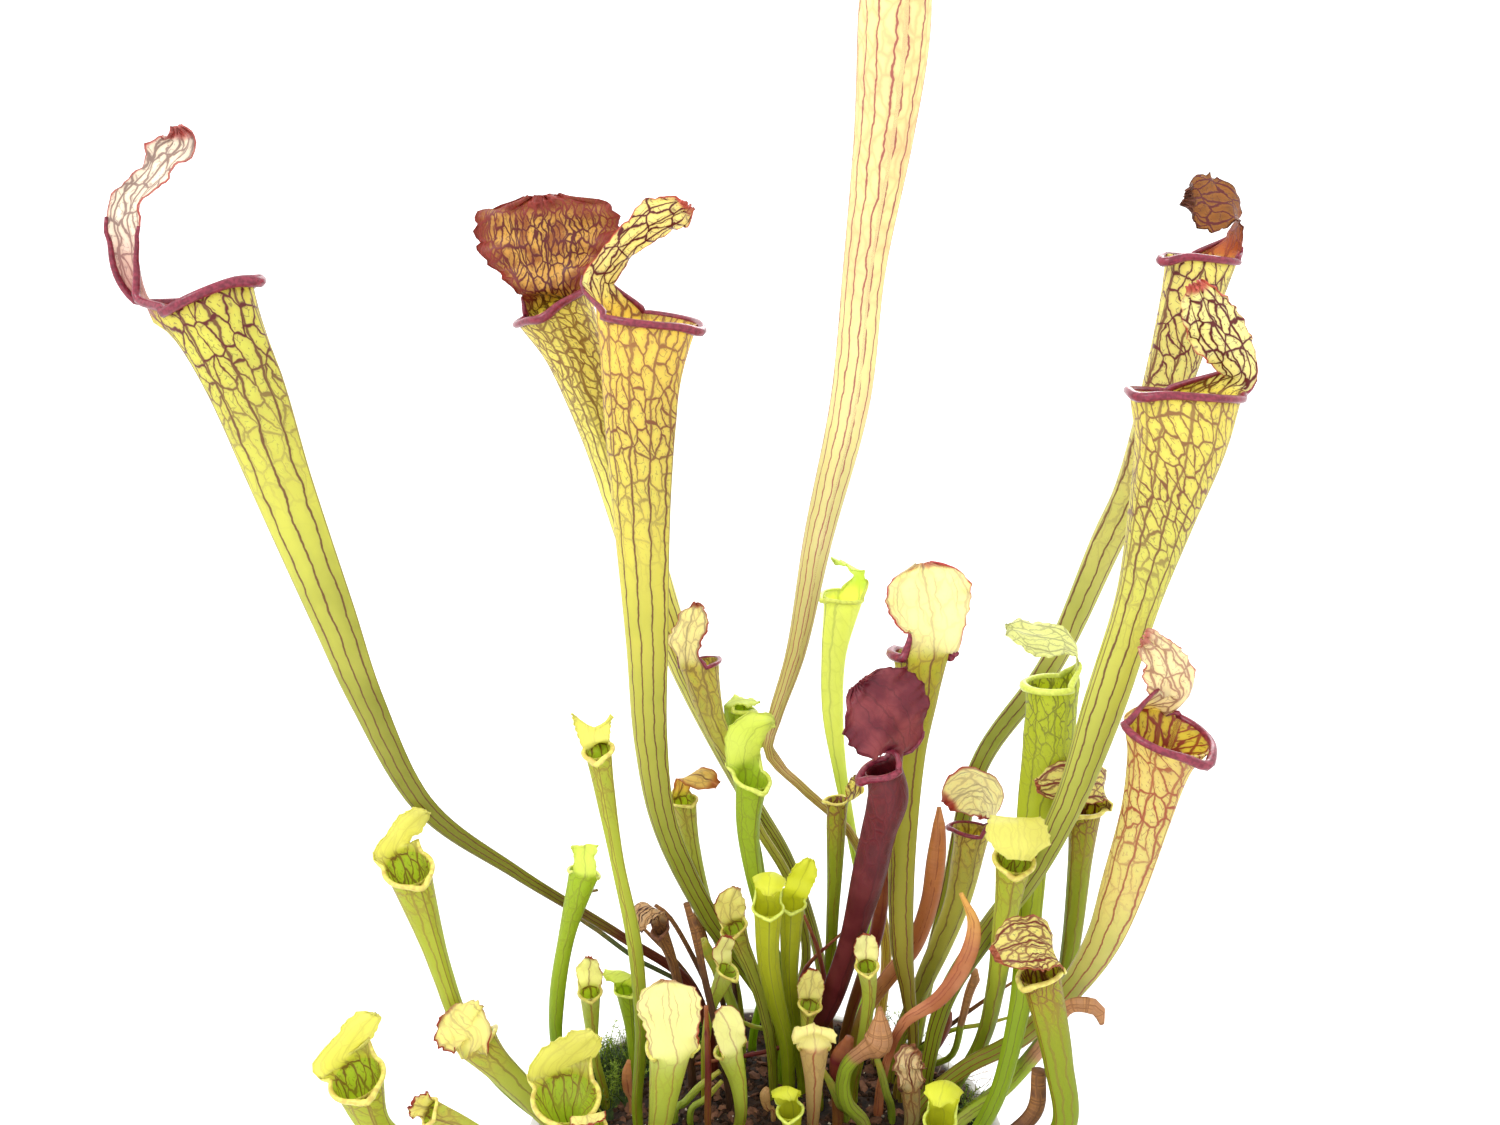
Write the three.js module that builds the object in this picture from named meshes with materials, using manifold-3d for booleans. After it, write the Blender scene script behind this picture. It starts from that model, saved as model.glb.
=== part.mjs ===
// A clump of hybrid trumpet pitchers (Sarracenia) in a plain round plastic pot.
//
// Millimetres, +Z up. The origin is the middle of the pot's flat underside and Z is the pot's axis.
// The clump is laid out as seen from the front: +X is to the viewer's right, +Y is away.
//
// Every leaf is one closed solid. A pitcher is a tube on a bent midline, hollow near its mouth: its
// wall runs on up the back as a neck and opens like a fan into the lid, and a rolled lip follows
// the free edge. Each leaf stands in a plain hole in the potting mix.

import * as THREE from "three";
import { mergeVertices } from "three/addons/utils/BufferGeometryUtils.js";
import Module from "manifold-3d";

const wasm = await Module();
wasm.setup();

const pot = {
  height: 130,
  rimRadius: 77.5,
  footRadius: 55,
  wall: 2,
  floor: 3,
  bandHeight: 15,
  bandProud: 1.6,
  sides: 32,
  drainHoles: 6,
  drainRadius: 5,
  drainCircle: 38,
};
const mix = { belowRim: 7, mound: 6, gap: 0.35, lumps: 1.1, rings: 3, sides: 22 };
const socket = { depth: 9, reach: 5, clearance: 0.35, sides: 5 };
const moss = {
  x: -2,
  y: -34,
  matRadius: 23,
  matSpread: 3,
  matHigh: 6,
  matSides: 16,
  matWide: 1.5,
  matLow: 0.62,
  tufts: 36,
  tuftHeight: 5,
  tuftRadius: 2.4,
  tuftRoot: 3,
  tuftTilt: 0.5,
  pad: 1.6,
  gap: 0.3,
  seed: 11,
};

// How finely a leaf of each size is cut: rows up the tube, rows that are hollow, columns on the
// open side and on the lid's side, rows of neck and lid, and the thickness of the rolled lip.
const cuts = {
  large: { rows: 8, hollow: 3, open: 7, fan: 6, neck: 1, lid: 4, wall: 0.9, lip: 2.4 },
  medium: { rows: 7, hollow: 2, open: 4, fan: 4, neck: 1, lid: 4, wall: 0.8, lip: 1.5 },
  small: { rows: 5, hollow: 1, open: 3, fan: 4, neck: 0, lid: 3, wall: 0.7, lip: 0.9 },
};
// The rolled lip's section, out from the wall and up along the tube, in shares of its thickness
const lipSection = [[0.85, -0.3], [1, 0.25], [0.3, 0.6]];
const stemSides = 6;
const fanHalfAngle = THREE.MathUtils.degToRad(62);
const tipHalfWidth = 0.7;
const guide = { runIn: 8, divisions: 400 };

// The viewer's eye and picture plane. A leaf's route is given as it is seen from here: across and
// down in picture points, then how far behind the pot's axis it lies in millimetres.
const mixLevel = pot.height - mix.belowRim;
const eye = {
  x: -5,
  y: -396,
  z: mixLevel + 272,
  pitch: THREE.MathUtils.degToRad(11),
  focal: 1350,
  centreU: 750,
  centreV: 562.5,
};

const finishes = {
  pot_plastic: { color: 0xf1f0ea, roughness: 0.5 },
  potting_mix: { color: 0x2b1d15, roughness: 0.95 },
  moss: { color: 0x5d7a2a, roughness: 0.9 },
  leaf_yellow: { color: 0xc9c63e, roughness: 0.45 },
  leaf_green: { color: 0x86a92f, roughness: 0.45 },
  leaf_red: { color: 0x8e2430, roughness: 0.4 },
  leaf_orange: { color: 0xc27a3c, roughness: 0.5 },
  leaf_dead: { color: 0x8a5c36, roughness: 0.7 },
};

const group = new THREE.Group();
const leaves = [];

// Small helpers
function seen(u, v, behind) {
  const across = (u - eye.centreU) / eye.focal;
  const down = (v - eye.centreV) / eye.focal;
  const alongY = Math.cos(eye.pitch) - down * Math.sin(eye.pitch);
  const alongZ = -Math.sin(eye.pitch) - down * Math.cos(eye.pitch);
  const reach = (behind - eye.y) / alongY;
  return new THREE.Vector3(eye.x + across * reach, behind, eye.z + alongZ * reach);
}

function seededRandom(seed) {
  let state = seed;
  return () => {
    state = (state * 16807) % 2147483647;
    return state / 2147483647;
  };
}

function potInside(z) {
  const body = pot.rimRadius - pot.bandProud;
  return pot.footRadius + ((body - pot.footRadius) * z) / pot.height - pot.wall;
}

function mixTop(x, y) {
  const share = Math.min(1, Math.hypot(x, y) / potInside(mixLevel));
  const lumps = mix.lumps * Math.sin(x / 7.3 + 1) * Math.cos(y / 6.1) * (1 - share ** 4);
  return mixLevel + mix.mound * (1 - share ** 2) + lumps;
}

function toSolid(geometry) {
  geometry.deleteAttribute("normal");
  geometry.deleteAttribute("uv");
  const merged = mergeVertices(geometry, 1e-5);
  return new wasm.Manifold(new wasm.Mesh({
    numProp: 3,
    vertProperties: new Float32Array(merged.attributes.position.array),
    triVerts: new Uint32Array(merged.index.array),
  }));
}

function facesToSolid(points, triangles) {
  const geometry = new THREE.BufferGeometry().setFromPoints(points);
  geometry.setIndex(triangles);
  return toSolid(geometry);
}

function addMesh(name, finish, solid) {
  const cut = solid.getMesh();
  const geometry = new THREE.BufferGeometry();
  geometry.setAttribute("position", new THREE.BufferAttribute(cut.vertProperties, 3));
  geometry.setIndex(new THREE.BufferAttribute(cut.triVerts, 1));
  geometry.computeVertexNormals();
  const material = new THREE.MeshStandardMaterial({ ...finishes[finish], metalness: 0 });
  const mesh = new THREE.Mesh(geometry, material);
  mesh.name = name;
  group.add(mesh);
}

// A value that follows the same knots as the midline, on a smooth curve
function knotValue(values, t) {
  const place = t * (values.length - 1);
  const knot = Math.min(Math.floor(place), values.length - 2);
  const local = place - knot;
  const before = values[Math.max(knot - 1, 0)];
  const after = values[Math.min(knot + 2, values.length - 1)];
  const slopeA = (values[knot + 1] - before) / 2;
  const slopeB = (after - values[knot]) / 2;
  const square = local * local;
  const cube = square * local;
  return (2 * cube - 3 * square + 1) * values[knot] + (cube - 2 * square + local) * slopeA
    + (3 * square - 2 * cube) * values[knot + 1] + (cube - square) * slopeB;
}

// Rows up a leaf's midline, each with its centre, its width and three directions: along, to the
// front and to the side. The first two rows stand straight up in the socket.
function midline(foot, route, facing, rowCount) {
  const [footX, footY, footWide] = foot;
  const surface = mixTop(footX, footY);
  const knots = [
    new THREE.Vector3(footX, footY, surface - socket.depth),
    new THREE.Vector3(footX, footY, surface + socket.reach),
    ...route.map(([u, v, behind]) => seen(u, v, behind)),
  ];
  const widths = [footWide, footWide, ...route.map((knot) => knot[3])];
  const curve = new THREE.CatmullRomCurve3(knots);
  curve.arcLengthDivisions = guide.divisions;
  const lengths = curve.getLengths();
  const socketT = 1 / (knots.length - 1);
  const socketShare = lengths[Math.round(socketT * guide.divisions)] / lengths[guide.divisions];
  const rows = [];
  for (let row = 0; row <= rowCount; row += 1) {
    const climb = row === 0 ? 0 : socketShare + (1 - socketShare) * ((row - 1) / (rowCount - 1)) ** 0.9;
    const t = row === 1 ? socketT : curve.getUtoTmapping(climb);
    const along = row < 2 ? new THREE.Vector3(0, 0, 1) : curve.getTangent(t);
    rows.push({ centre: curve.getPoint(t), width: Math.max(knotValue(widths, t), 1), along });
  }
  const turn = THREE.MathUtils.degToRad(facing);
  let front = new THREE.Vector3(Math.cos(turn), Math.sin(turn), 0);
  for (let row = rowCount; row >= 0; row -= 1) {
    const { along } = rows[row];
    if (row < rowCount) {
      front.applyQuaternion(new THREE.Quaternion().setFromUnitVectors(rows[row + 1].along, along));
    }
    front = front.clone().addScaledVector(along, -front.dot(along)).normalize();
    rows[row].front = front.clone();
    rows[row].side = along.clone().cross(front);
  }
  return rows;
}

function heading(azimuth, elevation) {
  const [turn, rise] = [THREE.MathUtils.degToRad(azimuth), THREE.MathUtils.degToRad(elevation)];
  const level = Math.cos(rise);
  return new THREE.Vector3(Math.cos(turn) * level, Math.sin(turn) * level, Math.sin(rise));
}

// A leaning lid's midrib leaves the back of the mouth and leans towards the front by angles that
// change evenly, first along the neck and then along the lid.
function leaningMidrib(lid, hinge, top) {
  const steps = 24;
  return (distance) => {
    const centre = hinge.clone();
    let lean = THREE.MathUtils.degToRad(lid.lean[0]);
    for (let step = 0; step < steps; step += 1) {
      const run = (distance * (step + 0.5)) / steps;
      const degrees = run < lid.neck
        ? THREE.MathUtils.lerp(lid.lean[0], lid.lean[1], run / lid.neck)
        : THREE.MathUtils.lerp(lid.lean[1], lid.lean[2], (run - lid.neck) / lid.length);
      lean = THREE.MathUtils.degToRad(degrees);
      centre.addScaledVector(top.front, (Math.sin(lean) * distance) / steps);
      centre.addScaledVector(top.along, (Math.cos(lean) * distance) / steps);
    }
    const towards = top.front.clone().multiplyScalar(Math.cos(lean))
      .addScaledVector(top.along, -Math.sin(lean));
    const share = Math.max(0, (distance - lid.neck) / lid.length);
    const half = distance < lid.neck ? lid.neckWide / 2 : lidHalfWidth(lid, share);
    return { centre, across: top.side.clone().negate(), towards, half };
  };
}

// A midrib through given points starts along the tube and then turns with them
function guidedMidrib(lid, hinge, top) {
  const knots = [hinge.clone().addScaledVector(top.along, -guide.runIn), hinge];
  const backs = [top.front.clone().negate(), top.front.clone().negate()];
  const widths = [lid.neckWide, lid.neckWide];
  lid.way.forEach(([u, v, behind, wide, azimuth, elevation]) => {
    knots.push(seen(u, v, behind));
    backs.push(heading(azimuth, elevation));
    widths.push(wide);
  });
  const curve = new THREE.CatmullRomCurve3(knots);
  curve.arcLengthDivisions = guide.divisions;
  const lengths = curve.getLengths();
  const hingeT = 1 / (knots.length - 1);
  const skipped = lengths[Math.round(hingeT * guide.divisions)];
  const reach = lengths[guide.divisions] - skipped;
  const midrib = (distance) => {
    const t = curve.getUtoTmapping(Math.min(1, (skipped + distance) / lengths[guide.divisions]));
    const ahead = curve.getTangent(Math.min(t, 1 - 1 / guide.divisions));
    const parts = ["x", "y", "z"].map((axis) => knotValue(backs.map((back) => back[axis]), t));
    const out = new THREE.Vector3(...parts);
    out.addScaledVector(ahead, -out.dot(ahead)).normalize();
    const half = Math.max(knotValue(widths, t) / 2, tipHalfWidth);
    return { centre: curve.getPoint(t), across: ahead.clone().cross(out), towards: out.negate(), half };
  };
  return { midrib, reach };
}

function lidHalfWidth(lid, share) {
  const widest = 0.42;
  if (share < widest) {
    return THREE.MathUtils.lerp(lid.neckWide, lid.wide, THREE.MathUtils.smoothstep(share, 0, widest)) / 2;
  }
  const beyond = (share - widest) / (1 - widest);
  return Math.max((lid.wide / 2) * Math.sqrt(1 - beyond ** 2.2), tipHalfWidth);
}

// A pitcher. lid: neck and length run up the midrib, neckWide and wide go across, lean is in
// degrees, cup bends the sheet about its midrib at the neck and at the lid, wave is the height of
// the waves in the margin, settle is how far up the mouth's curve still shapes the sheet and notch
// raises the tip's corners. mouth: dip is how far the front of the lip is below the back, flare,
// spout and pouch widen it all round, at the front and at the back, and lip thickens its roll.
function pitcher(name, finish, size, facing, foot, route, lid, mouth = {}) {
  const cut = { ...cuts[size], ...(lid.cuts ?? {}) };
  const rows = midline(foot, route, facing, cut.rows);
  const columns = cut.fan + cut.open;
  const rim = { dip: 0.08, flare: 0.08, spout: 0.12, pouch: 0, lip: 1, ...mouth };
  const grid = [];
  const top = rows[cut.rows];
  const angleAt = (column) => {
    if (column <= cut.fan) {
      return Math.PI + fanHalfAngle * ((2 * column) / cut.fan - 1);
    }
    const openStep = (2 * Math.PI - 2 * fanHalfAngle) / cut.open;
    return Math.PI + fanHalfAngle + openStep * (column - cut.fan);
  };
  rows.forEach((row, index) => {
    const nearRim = Math.max(0, (index - cut.rows + 2) / 2);
    const ring = [];
    for (let column = 0; column < columns; column += 1) {
      const angle = angleAt(column);
      const ahead = Math.max(0, Math.cos(angle));
      const behind = Math.max(0, -Math.cos(angle));
      const grow = 1 + nearRim ** 3 * (rim.flare + rim.spout * ahead ** 3)
        + nearRim ** 6 * rim.pouch * behind ** 3;
      const keel = 1 + (1 - nearRim) * 0.12 * ahead ** 6;
      const radius = (row.width / 2) * (index < 2 ? 1 : grow * keel);
      const lift = -0.5 * nearRim ** 2 * rim.dip * row.width * Math.cos(angle);
      ring.push(row.centre.clone().addScaledVector(row.front, radius * Math.cos(angle))
        .addScaledVector(row.side, radius * Math.sin(angle)).addScaledVector(row.along, lift));
    }
    grid.push(ring);
  });

  const hinge = top.centre.clone()
    .addScaledVector(top.front, (-top.width / 2) * (1 + rim.flare + rim.pouch))
    .addScaledVector(top.along, 0.5 * rim.dip * top.width);
  const guided = lid.way && guidedMidrib(lid, hinge, top);
  const midrib = guided ? guided.midrib : leaningMidrib(lid, hinge, top);
  const reach = guided ? guided.reach : lid.neck + lid.length;
  const settle = lid.settle ?? Math.max(lid.neck, 0.3 * reach);
  const lidRows = cut.neck + cut.lid;
  for (let index = 1; index <= lidRows; index += 1) {
    const distance = reach * (1 - (1 - index / lidRows) ** 1.35);
    const share = Math.max(0, (distance - lid.neck) / (reach - lid.neck));
    const { centre, across, towards, half } = midrib(distance);
    const bend = THREE.MathUtils.degToRad(THREE.MathUtils.lerp(lid.cup[0], lid.cup[1], share)) || 0.001;
    const ready = THREE.MathUtils.smoothstep(distance, 0, settle);
    const ring = [];
    for (let column = 0; column <= cut.fan; column += 1) {
      const c = (2 * column) / cut.fan - 1;
      const waves = lid.wave * (Math.abs(c) ** 1.5 * Math.sin(2 * Math.PI * lid.waves * share)
        + share ** 2 * Math.sin(Math.PI * lid.waves * c) * 0.6);
      const aside = (half * Math.sin(bend * c)) / bend;
      const ahead = (half * (1 - Math.cos(bend * c))) / bend + waves;
      const notch = (lid.notch ?? 0) * Math.abs(c) ** 1.5 * THREE.MathUtils.smoothstep(share, 0.2, 1);
      const open = across.clone().multiplyScalar(aside).addScaledVector(towards, ahead)
        .addScaledVector(top.along, notch);
      const closed = grid[cut.rows][column].clone().sub(hinge);
      ring.push(centre.clone().add(closed.lerp(open, ready)));
    }
    grid.push(ring);
  }

  // The wall's inner face lies one wall thickness inside the outer one
  const outer = [];
  const inner = [];
  const points = [];
  const firstHollow = cut.rows - cut.hollow;
  grid.forEach((ring, index) => {
    const isLid = index > cut.rows;
    const wrap = (column) => (isLid ? Math.min(Math.max(column, 0), cut.fan) : (column + columns) % columns);
    outer.push(ring.map((point) => points.push(point) - 1));
    if (index < firstHollow) {
      inner.push(null);
      return;
    }
    inner.push(ring.map((point, column) => {
      const hasAbove = index < cut.rows || (index < grid.length - 1 && column <= cut.fan);
      const above = hasAbove ? grid[index + 1][column] : point;
      const below = grid[index - 1][column];
      const around = ring[wrap(column + 1)].clone().sub(ring[wrap(column - 1)]);
      const out = around.cross(above.clone().sub(below)).normalize();
      return points.push(point.clone().addScaledVector(out, -cut.wall)) - 1;
    }));
  });

  const triangles = [];
  const quad = (a, b, c, d) => triangles.push(a, b, c, a, c, d);
  for (let index = 0; index < grid.length - 1; index += 1) {
    const isLid = index >= cut.rows;
    for (let column = 0; column < (isLid ? cut.fan : columns); column += 1) {
      const next = isLid ? column + 1 : (column + 1) % columns;
      const [low, high] = [outer[index], outer[index + 1]];
      quad(low[column], low[next], high[next], high[column]);
      if (index >= firstHollow) {
        const [lowIn, highIn] = [inner[index], inner[index + 1]];
        triangles.push(lowIn[column], highIn[next], lowIn[next]);
        triangles.push(lowIn[column], highIn[column], highIn[next]);
      }
    }
    if (isLid) {
      const [low, high, lowIn, highIn] = [outer[index], outer[index + 1], inner[index], inner[index + 1]];
      quad(high[cut.fan], low[cut.fan], lowIn[cut.fan], highIn[cut.fan]);
      quad(low[0], high[0], highIn[0], lowIn[0]);
    }
  }
  // The rolled lip runs round the open side and fades out where the neck begins
  const lipRings = lipSection.map(([out, up], step) => {
    const ring = [];
    for (let column = cut.fan; column <= columns; column += 1) {
      const place = column % columns;
      const isEnd = column === cut.fan || column === columns;
      if (isEnd) {
        ring.push(step < lipSection.length - 1 ? outer[cut.rows][place] : inner[cut.rows][place]);
        continue;
      }
      const wallPoint = grid[cut.rows][place];
      const away = wallPoint.clone().sub(top.centre).normalize();
      const thick = cut.lip * rim.lip;
      ring.push(points.push(wallPoint.clone().addScaledVector(away, out * thick)
        .addScaledVector(top.along, up * thick)) - 1);
    }
    return ring;
  });
  const wallRing = (walls) => [...walls[cut.rows].slice(cut.fan), walls[cut.rows][0]];
  const lipStrips = [wallRing(outer), ...lipRings, wallRing(inner)];
  for (let strip = 0; strip < lipStrips.length - 1; strip += 1) {
    for (let column = 0; column < cut.open; column += 1) {
      const [near, far] = [lipStrips[strip], lipStrips[strip + 1]];
      const [a, b, c, d] = [near[column], near[column + 1], far[column + 1], far[column]];
      if (b !== c) {
        triangles.push(a, b, c);
      }
      if (a !== d) {
        triangles.push(a, c, d);
      }
    }
  }
  for (let column = 0; column < cut.fan; column += 1) {
    const [edge, inside] = [outer.at(-1), inner.at(-1)];
    quad(edge[column], edge[column + 1], inside[column + 1], inside[column]);
  }
  const footCentre = points.push(rows[0].centre) - 1;
  const bottomCentre = points.push(rows[firstHollow].centre) - 1;
  for (let column = 0; column < columns; column += 1) {
    const next = (column + 1) % columns;
    triangles.push(footCentre, outer[0][next], outer[0][column]);
    triangles.push(bottomCentre, inner[firstHollow][column], inner[firstHollow][next]);
  }
  leaves.push({ name, finish, foot, solid: facesToSolid(points, triangles) });
}

// A leaf without a mouth: a flat blade, an unopened pitcher or a withered stalk. deep is its
// thickness from front to back as a share of its width.
function blade(name, finish, facing, foot, route, deep, rowCount = 7) {
  const rows = midline(foot, route, facing, rowCount);
  const points = [];
  const triangles = [];
  rows.forEach((row, index) => {
    const share = index < 2 ? 1 : deep;
    for (let side = 0; side < stemSides; side += 1) {
      const angle = (2 * Math.PI * side) / stemSides;
      points.push(row.centre.clone()
        .addScaledVector(row.front, (row.width / 2) * share * Math.cos(angle))
        .addScaledVector(row.side, (row.width / 2) * Math.sin(angle)));
    }
  });
  for (let index = 0; index < rowCount; index += 1) {
    for (let side = 0; side < stemSides; side += 1) {
      const a = index * stemSides + side;
      const b = index * stemSides + ((side + 1) % stemSides);
      triangles.push(a, b, b + stemSides, a, b + stemSides, a + stemSides);
    }
  }
  for (let side = 1; side < stemSides - 1; side += 1) {
    const end = rowCount * stemSides;
    triangles.push(0, side + 1, side);
    triangles.push(end, end + side, end + side + 1);
  }
  leaves.push({ name, finish, foot, solid: facesToSolid(points, triangles) });
}

// Neck and lid in millimetres and degrees
function lidOf(neck, neckWide, length, wide, lean, cup, wave, waves, more = {}) {
  return { neck, neckWide, length, wide, lean, cup, wave, waves, ...more };
}

// A lid whose midrib passes through points of its own. Each is seen from the eye: across, down and
// behind, then the width there and where the outer face looks, as azimuth and elevation.
function lidAlong(neck, cup, way, more = {}) {
  return { neck, neckWide: way[0][3], cup, wave: 0.6, waves: 2, way, ...more };
}

// The tall pitchers
function tallPitchers() {
  pitcher("pitcher_tall_left", "leaf_yellow", "large", -8, [-18, 40, 3.2], [
    [690, 985, 34, 3.2], [622, 937, 24, 3.2], [517, 873, 8, 4], [424, 806, -4, 6.2],
    [366, 700, -8, 9.4], [332, 615, -9, 12.5], [279, 480, -10, 16.5], [245, 388, -10, 20],
    [206, 300, -10, 23.5],
  ], lidAlong(27, [-60, -35], [
    [134, 268, -8, 11.5, -120, 5], [131, 242, -10, 12, -110, 5], [128, 216, -12, 13, -105, 10],
    [141, 190, -12, 8, -100, 15], [165, 162, -12, 11, -95, 20], [180, 143, -12, 10.5, -95, 30],
    [177, 126, -12, 3, -95, 40],
  ], { wave: 1.2, waves: 2.5, settle: 9 }), { dip: -0.08, pouch: 0.3, lip: 1.25 });
  pitcher("pitcher_tall_behind", "leaf_yellow", "large", -100, [20, 57, 4], [
    [822, 975, 57, 4], [790, 865, 57, 4.5], [745, 790, 57, 6.5], [690, 680, 56, 9.5],
    [645, 560, 53, 14], [607, 434, 50, 17], [575, 350, 48, 20], [553, 305, 48, 24],
  ], lidAlong(5, [20, -30], [
    [552, 290, 50, 22, 82, 5], [549, 270, 51, 32, 82, 0], [546, 249, 51, 44, 82, 0],
    [544, 227, 51, 49, 82, 0], [542, 207, 50, 42, 82, 5], [541, 195, 50, 12, 82, 5],
  ], { cuts: { fan: 10 }, wave: 1.6, waves: 4, settle: 10 }), { dip: 0.12 });
  pitcher("pitcher_tall_middle", "leaf_yellow", "large", -22, [5, 40, 6], [
    [770, 1005, 37, 6.5], [706, 912, 33, 7], [664, 823, 28, 8.3], [650, 740, 25, 10.5],
    [646, 640, 23, 13], [640, 500, 20, 17.5], [639, 400, 18, 22], [645, 318, 16, 27],
  ], lidAlong(8, [-35, -25], [
    [600, 280, 20, 12, 130, 15], [615, 260, 20, 9.5, 115, 20], [633, 238, 18, 10.5, 108, 25],
    [656, 221, 15, 13, 105, 25], [677, 211, 12, 11.5, 105, 25], [690, 205, 10, 4, 105, 25],
  ], { wave: 1, waves: 2.5, settle: 9 }), { dip: 0.02 });
  pitcher("pitcher_tallest", "leaf_yellow", "large", 165, [40, 46, 3.6], [
    [886, 940, 47, 3.6], [852, 836, 44, 3.2], [805, 790, 40, 3.2], [769, 752, 36, 3.4],
    [775, 719, 33, 4.3], [796, 655, 31, 6], [819, 540, 28, 8.6], [852, 400, 25, 11.4],
    [866, 270, 22, 12], [887, 130, 19, 16.5], [897, 30, 17, 19.5], [899, -70, 15, 18.5],
  ], lidOf(9, 13, 26, 26, [0, 14, 80], [-30, 30], 1, 2, { cuts: { rows: 12 } }));
  pitcher("pitcher_right_back", "leaf_green", "large", -152, [52, 36, 4.2], [
    [925, 990, 42, 5], [948, 895, 46, 5.5], [980, 764, 47, 6.5], [1052, 662, 46, 8],
    [1108, 540, 44, 10.5], [1134, 488, 43, 12], [1174, 362, 42, 16], [1202, 258, 42, 20],
  ], lidAlong(5, [-45, 40], [
    [1234, 240, 42, 8, 20, 10], [1238, 222, 40, 7, -15, 20], [1233, 206, 37, 12, -55, 20],
    [1216, 202, 35, 18, -75, 15], [1199, 198, 33, 15, -85, 10], [1186, 196, 31, 4, -90, 10],
  ], { cuts: { lid: 6 }, wave: 0.8, waves: 2, settle: 7 }), { dip: 0.12 });
  pitcher("pitcher_right_front", "leaf_yellow", "large", -148, [54, 20, 4.5], [
    [945, 1000, 12, 6], [985, 935, 4, 7], [1032, 872, -4, 7.6], [1070, 800, -7, 9],
    [1104, 705, -9, 12.2], [1138, 600, -9, 13], [1163, 510, -8, 19.5], [1181, 440, -8, 25.5],
    [1186, 394, -8, 28],
  ], lidAlong(5, [-30, -25], [
    [1241, 377, -5, 9, 75, 10], [1233, 355, -8, 13, 85, 15], [1218, 332, -10, 15.5, 90, 15],
    [1205, 308, -13, 13, 95, 15], [1198, 292, -15, 8, 95, 15], [1194, 284, -16, 3, 95, 15],
  ], { cuts: { rows: 10 }, wave: 1, waves: 3, settle: 7 }), { dip: -0.03 });
  pitcher("pitcher_right_wide", "leaf_yellow", "large", -58, [50, 8, 4.4], [
    [960, 1070, 10, 4.6], [1020, 1037, 6, 5.6], [1072, 985, -5, 7.5], [1103, 938, -16, 10],
    [1123, 885, -24, 12.5], [1146, 812, -30, 14], [1159, 760, -32, 17.5], [1166, 731, -33, 22],
  ], lidAlong(4, [-35, -20], [
    [1178, 698, -25, 12, 110, 15], [1172, 680, -26, 15, 108, 20], [1163, 660, -28, 12, 108, 20],
    [1150, 643, -30, 7, 105, 20], [1143, 637, -31, 3, 105, 20],
  ], { wave: 0.9, waves: 3, settle: 9 }), { dip: 0.14 });
  pitcher("pitcher_green_right", "leaf_green", "large", 178, [60, -20, 4.4], [
    [998, 1095, -16, 4.8], [1017, 1025, -9, 5.8], [1026, 970, -2, 7], [1030, 900, 9, 8.5],
    [1038, 805, 13, 11], [1050, 744, 14, 14.5], [1053, 684, 14, 15.5],
  ], lidAlong(6, [-20, 25], [
    [1078, 666, 14, 4.5, 0, 10], [1077, 650, 14, 7, -25, 35], [1062, 641, 13, 12, -65, 55],
    [1041, 637, 12, 15, -80, 58], [1021, 632, 11, 12.5, -85, 58], [1007, 628, 10, 4, -85, 58],
  ], { cuts: { lid: 6 }, wave: 0.6, waves: 2, settle: 6 }), { spout: 0.02 });
  pitcher("pitcher_olive_back", "leaf_green", "large", 108, [46, 24, 3.6], [
    [913, 1046, 20, 3.6], [908, 993, 18, 5], [902, 946, 18, 7.6], [902, 853, 19, 9],
    [909, 750, 19, 11], [918, 690, 18, 13.5], [921, 655, 18, 16],
  ], lidAlong(3, [-15, -20], [
    [934, 634, 17, 18, -85, 5], [931, 612, 18, 25, -88, 10], [927, 592, 19, 27.5, -90, 15],
    [924, 574, 20, 21, -90, 20], [922, 563, 21, 5, -90, 20],
  ], { cuts: { rows: 7 }, wave: 1.1, waves: 2.5, settle: 7 }), { spout: 0.25, lip: 1.35 });
  pitcher("pitcher_red", "leaf_red", "large", -165, [17, 34, 4.5], [
    [812, 1040, 28, 5.5], [831, 999, 23, 7.6], [852, 939, 15, 7.6], [870, 873, 8, 10.4],
    [879, 833, 5, 10.5], [889, 795, 2, 12.2], [884, 768, 1, 10.5],
  ], lidAlong(3, [-12, -10], [
    [905, 748, 3, 12, -70, 20], [901, 733, 1, 21, -80, 28], [891, 719, -1, 29, -90, 30],
    [876, 702, -2, 28, -95, 30], [863, 689, -2, 17, -95, 30], [857, 683, -2, 5, -95, 30],
  ], { cuts: { rows: 7, hollow: 2 }, wave: 1.2, waves: 2, settle: 6 }));
}

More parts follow.
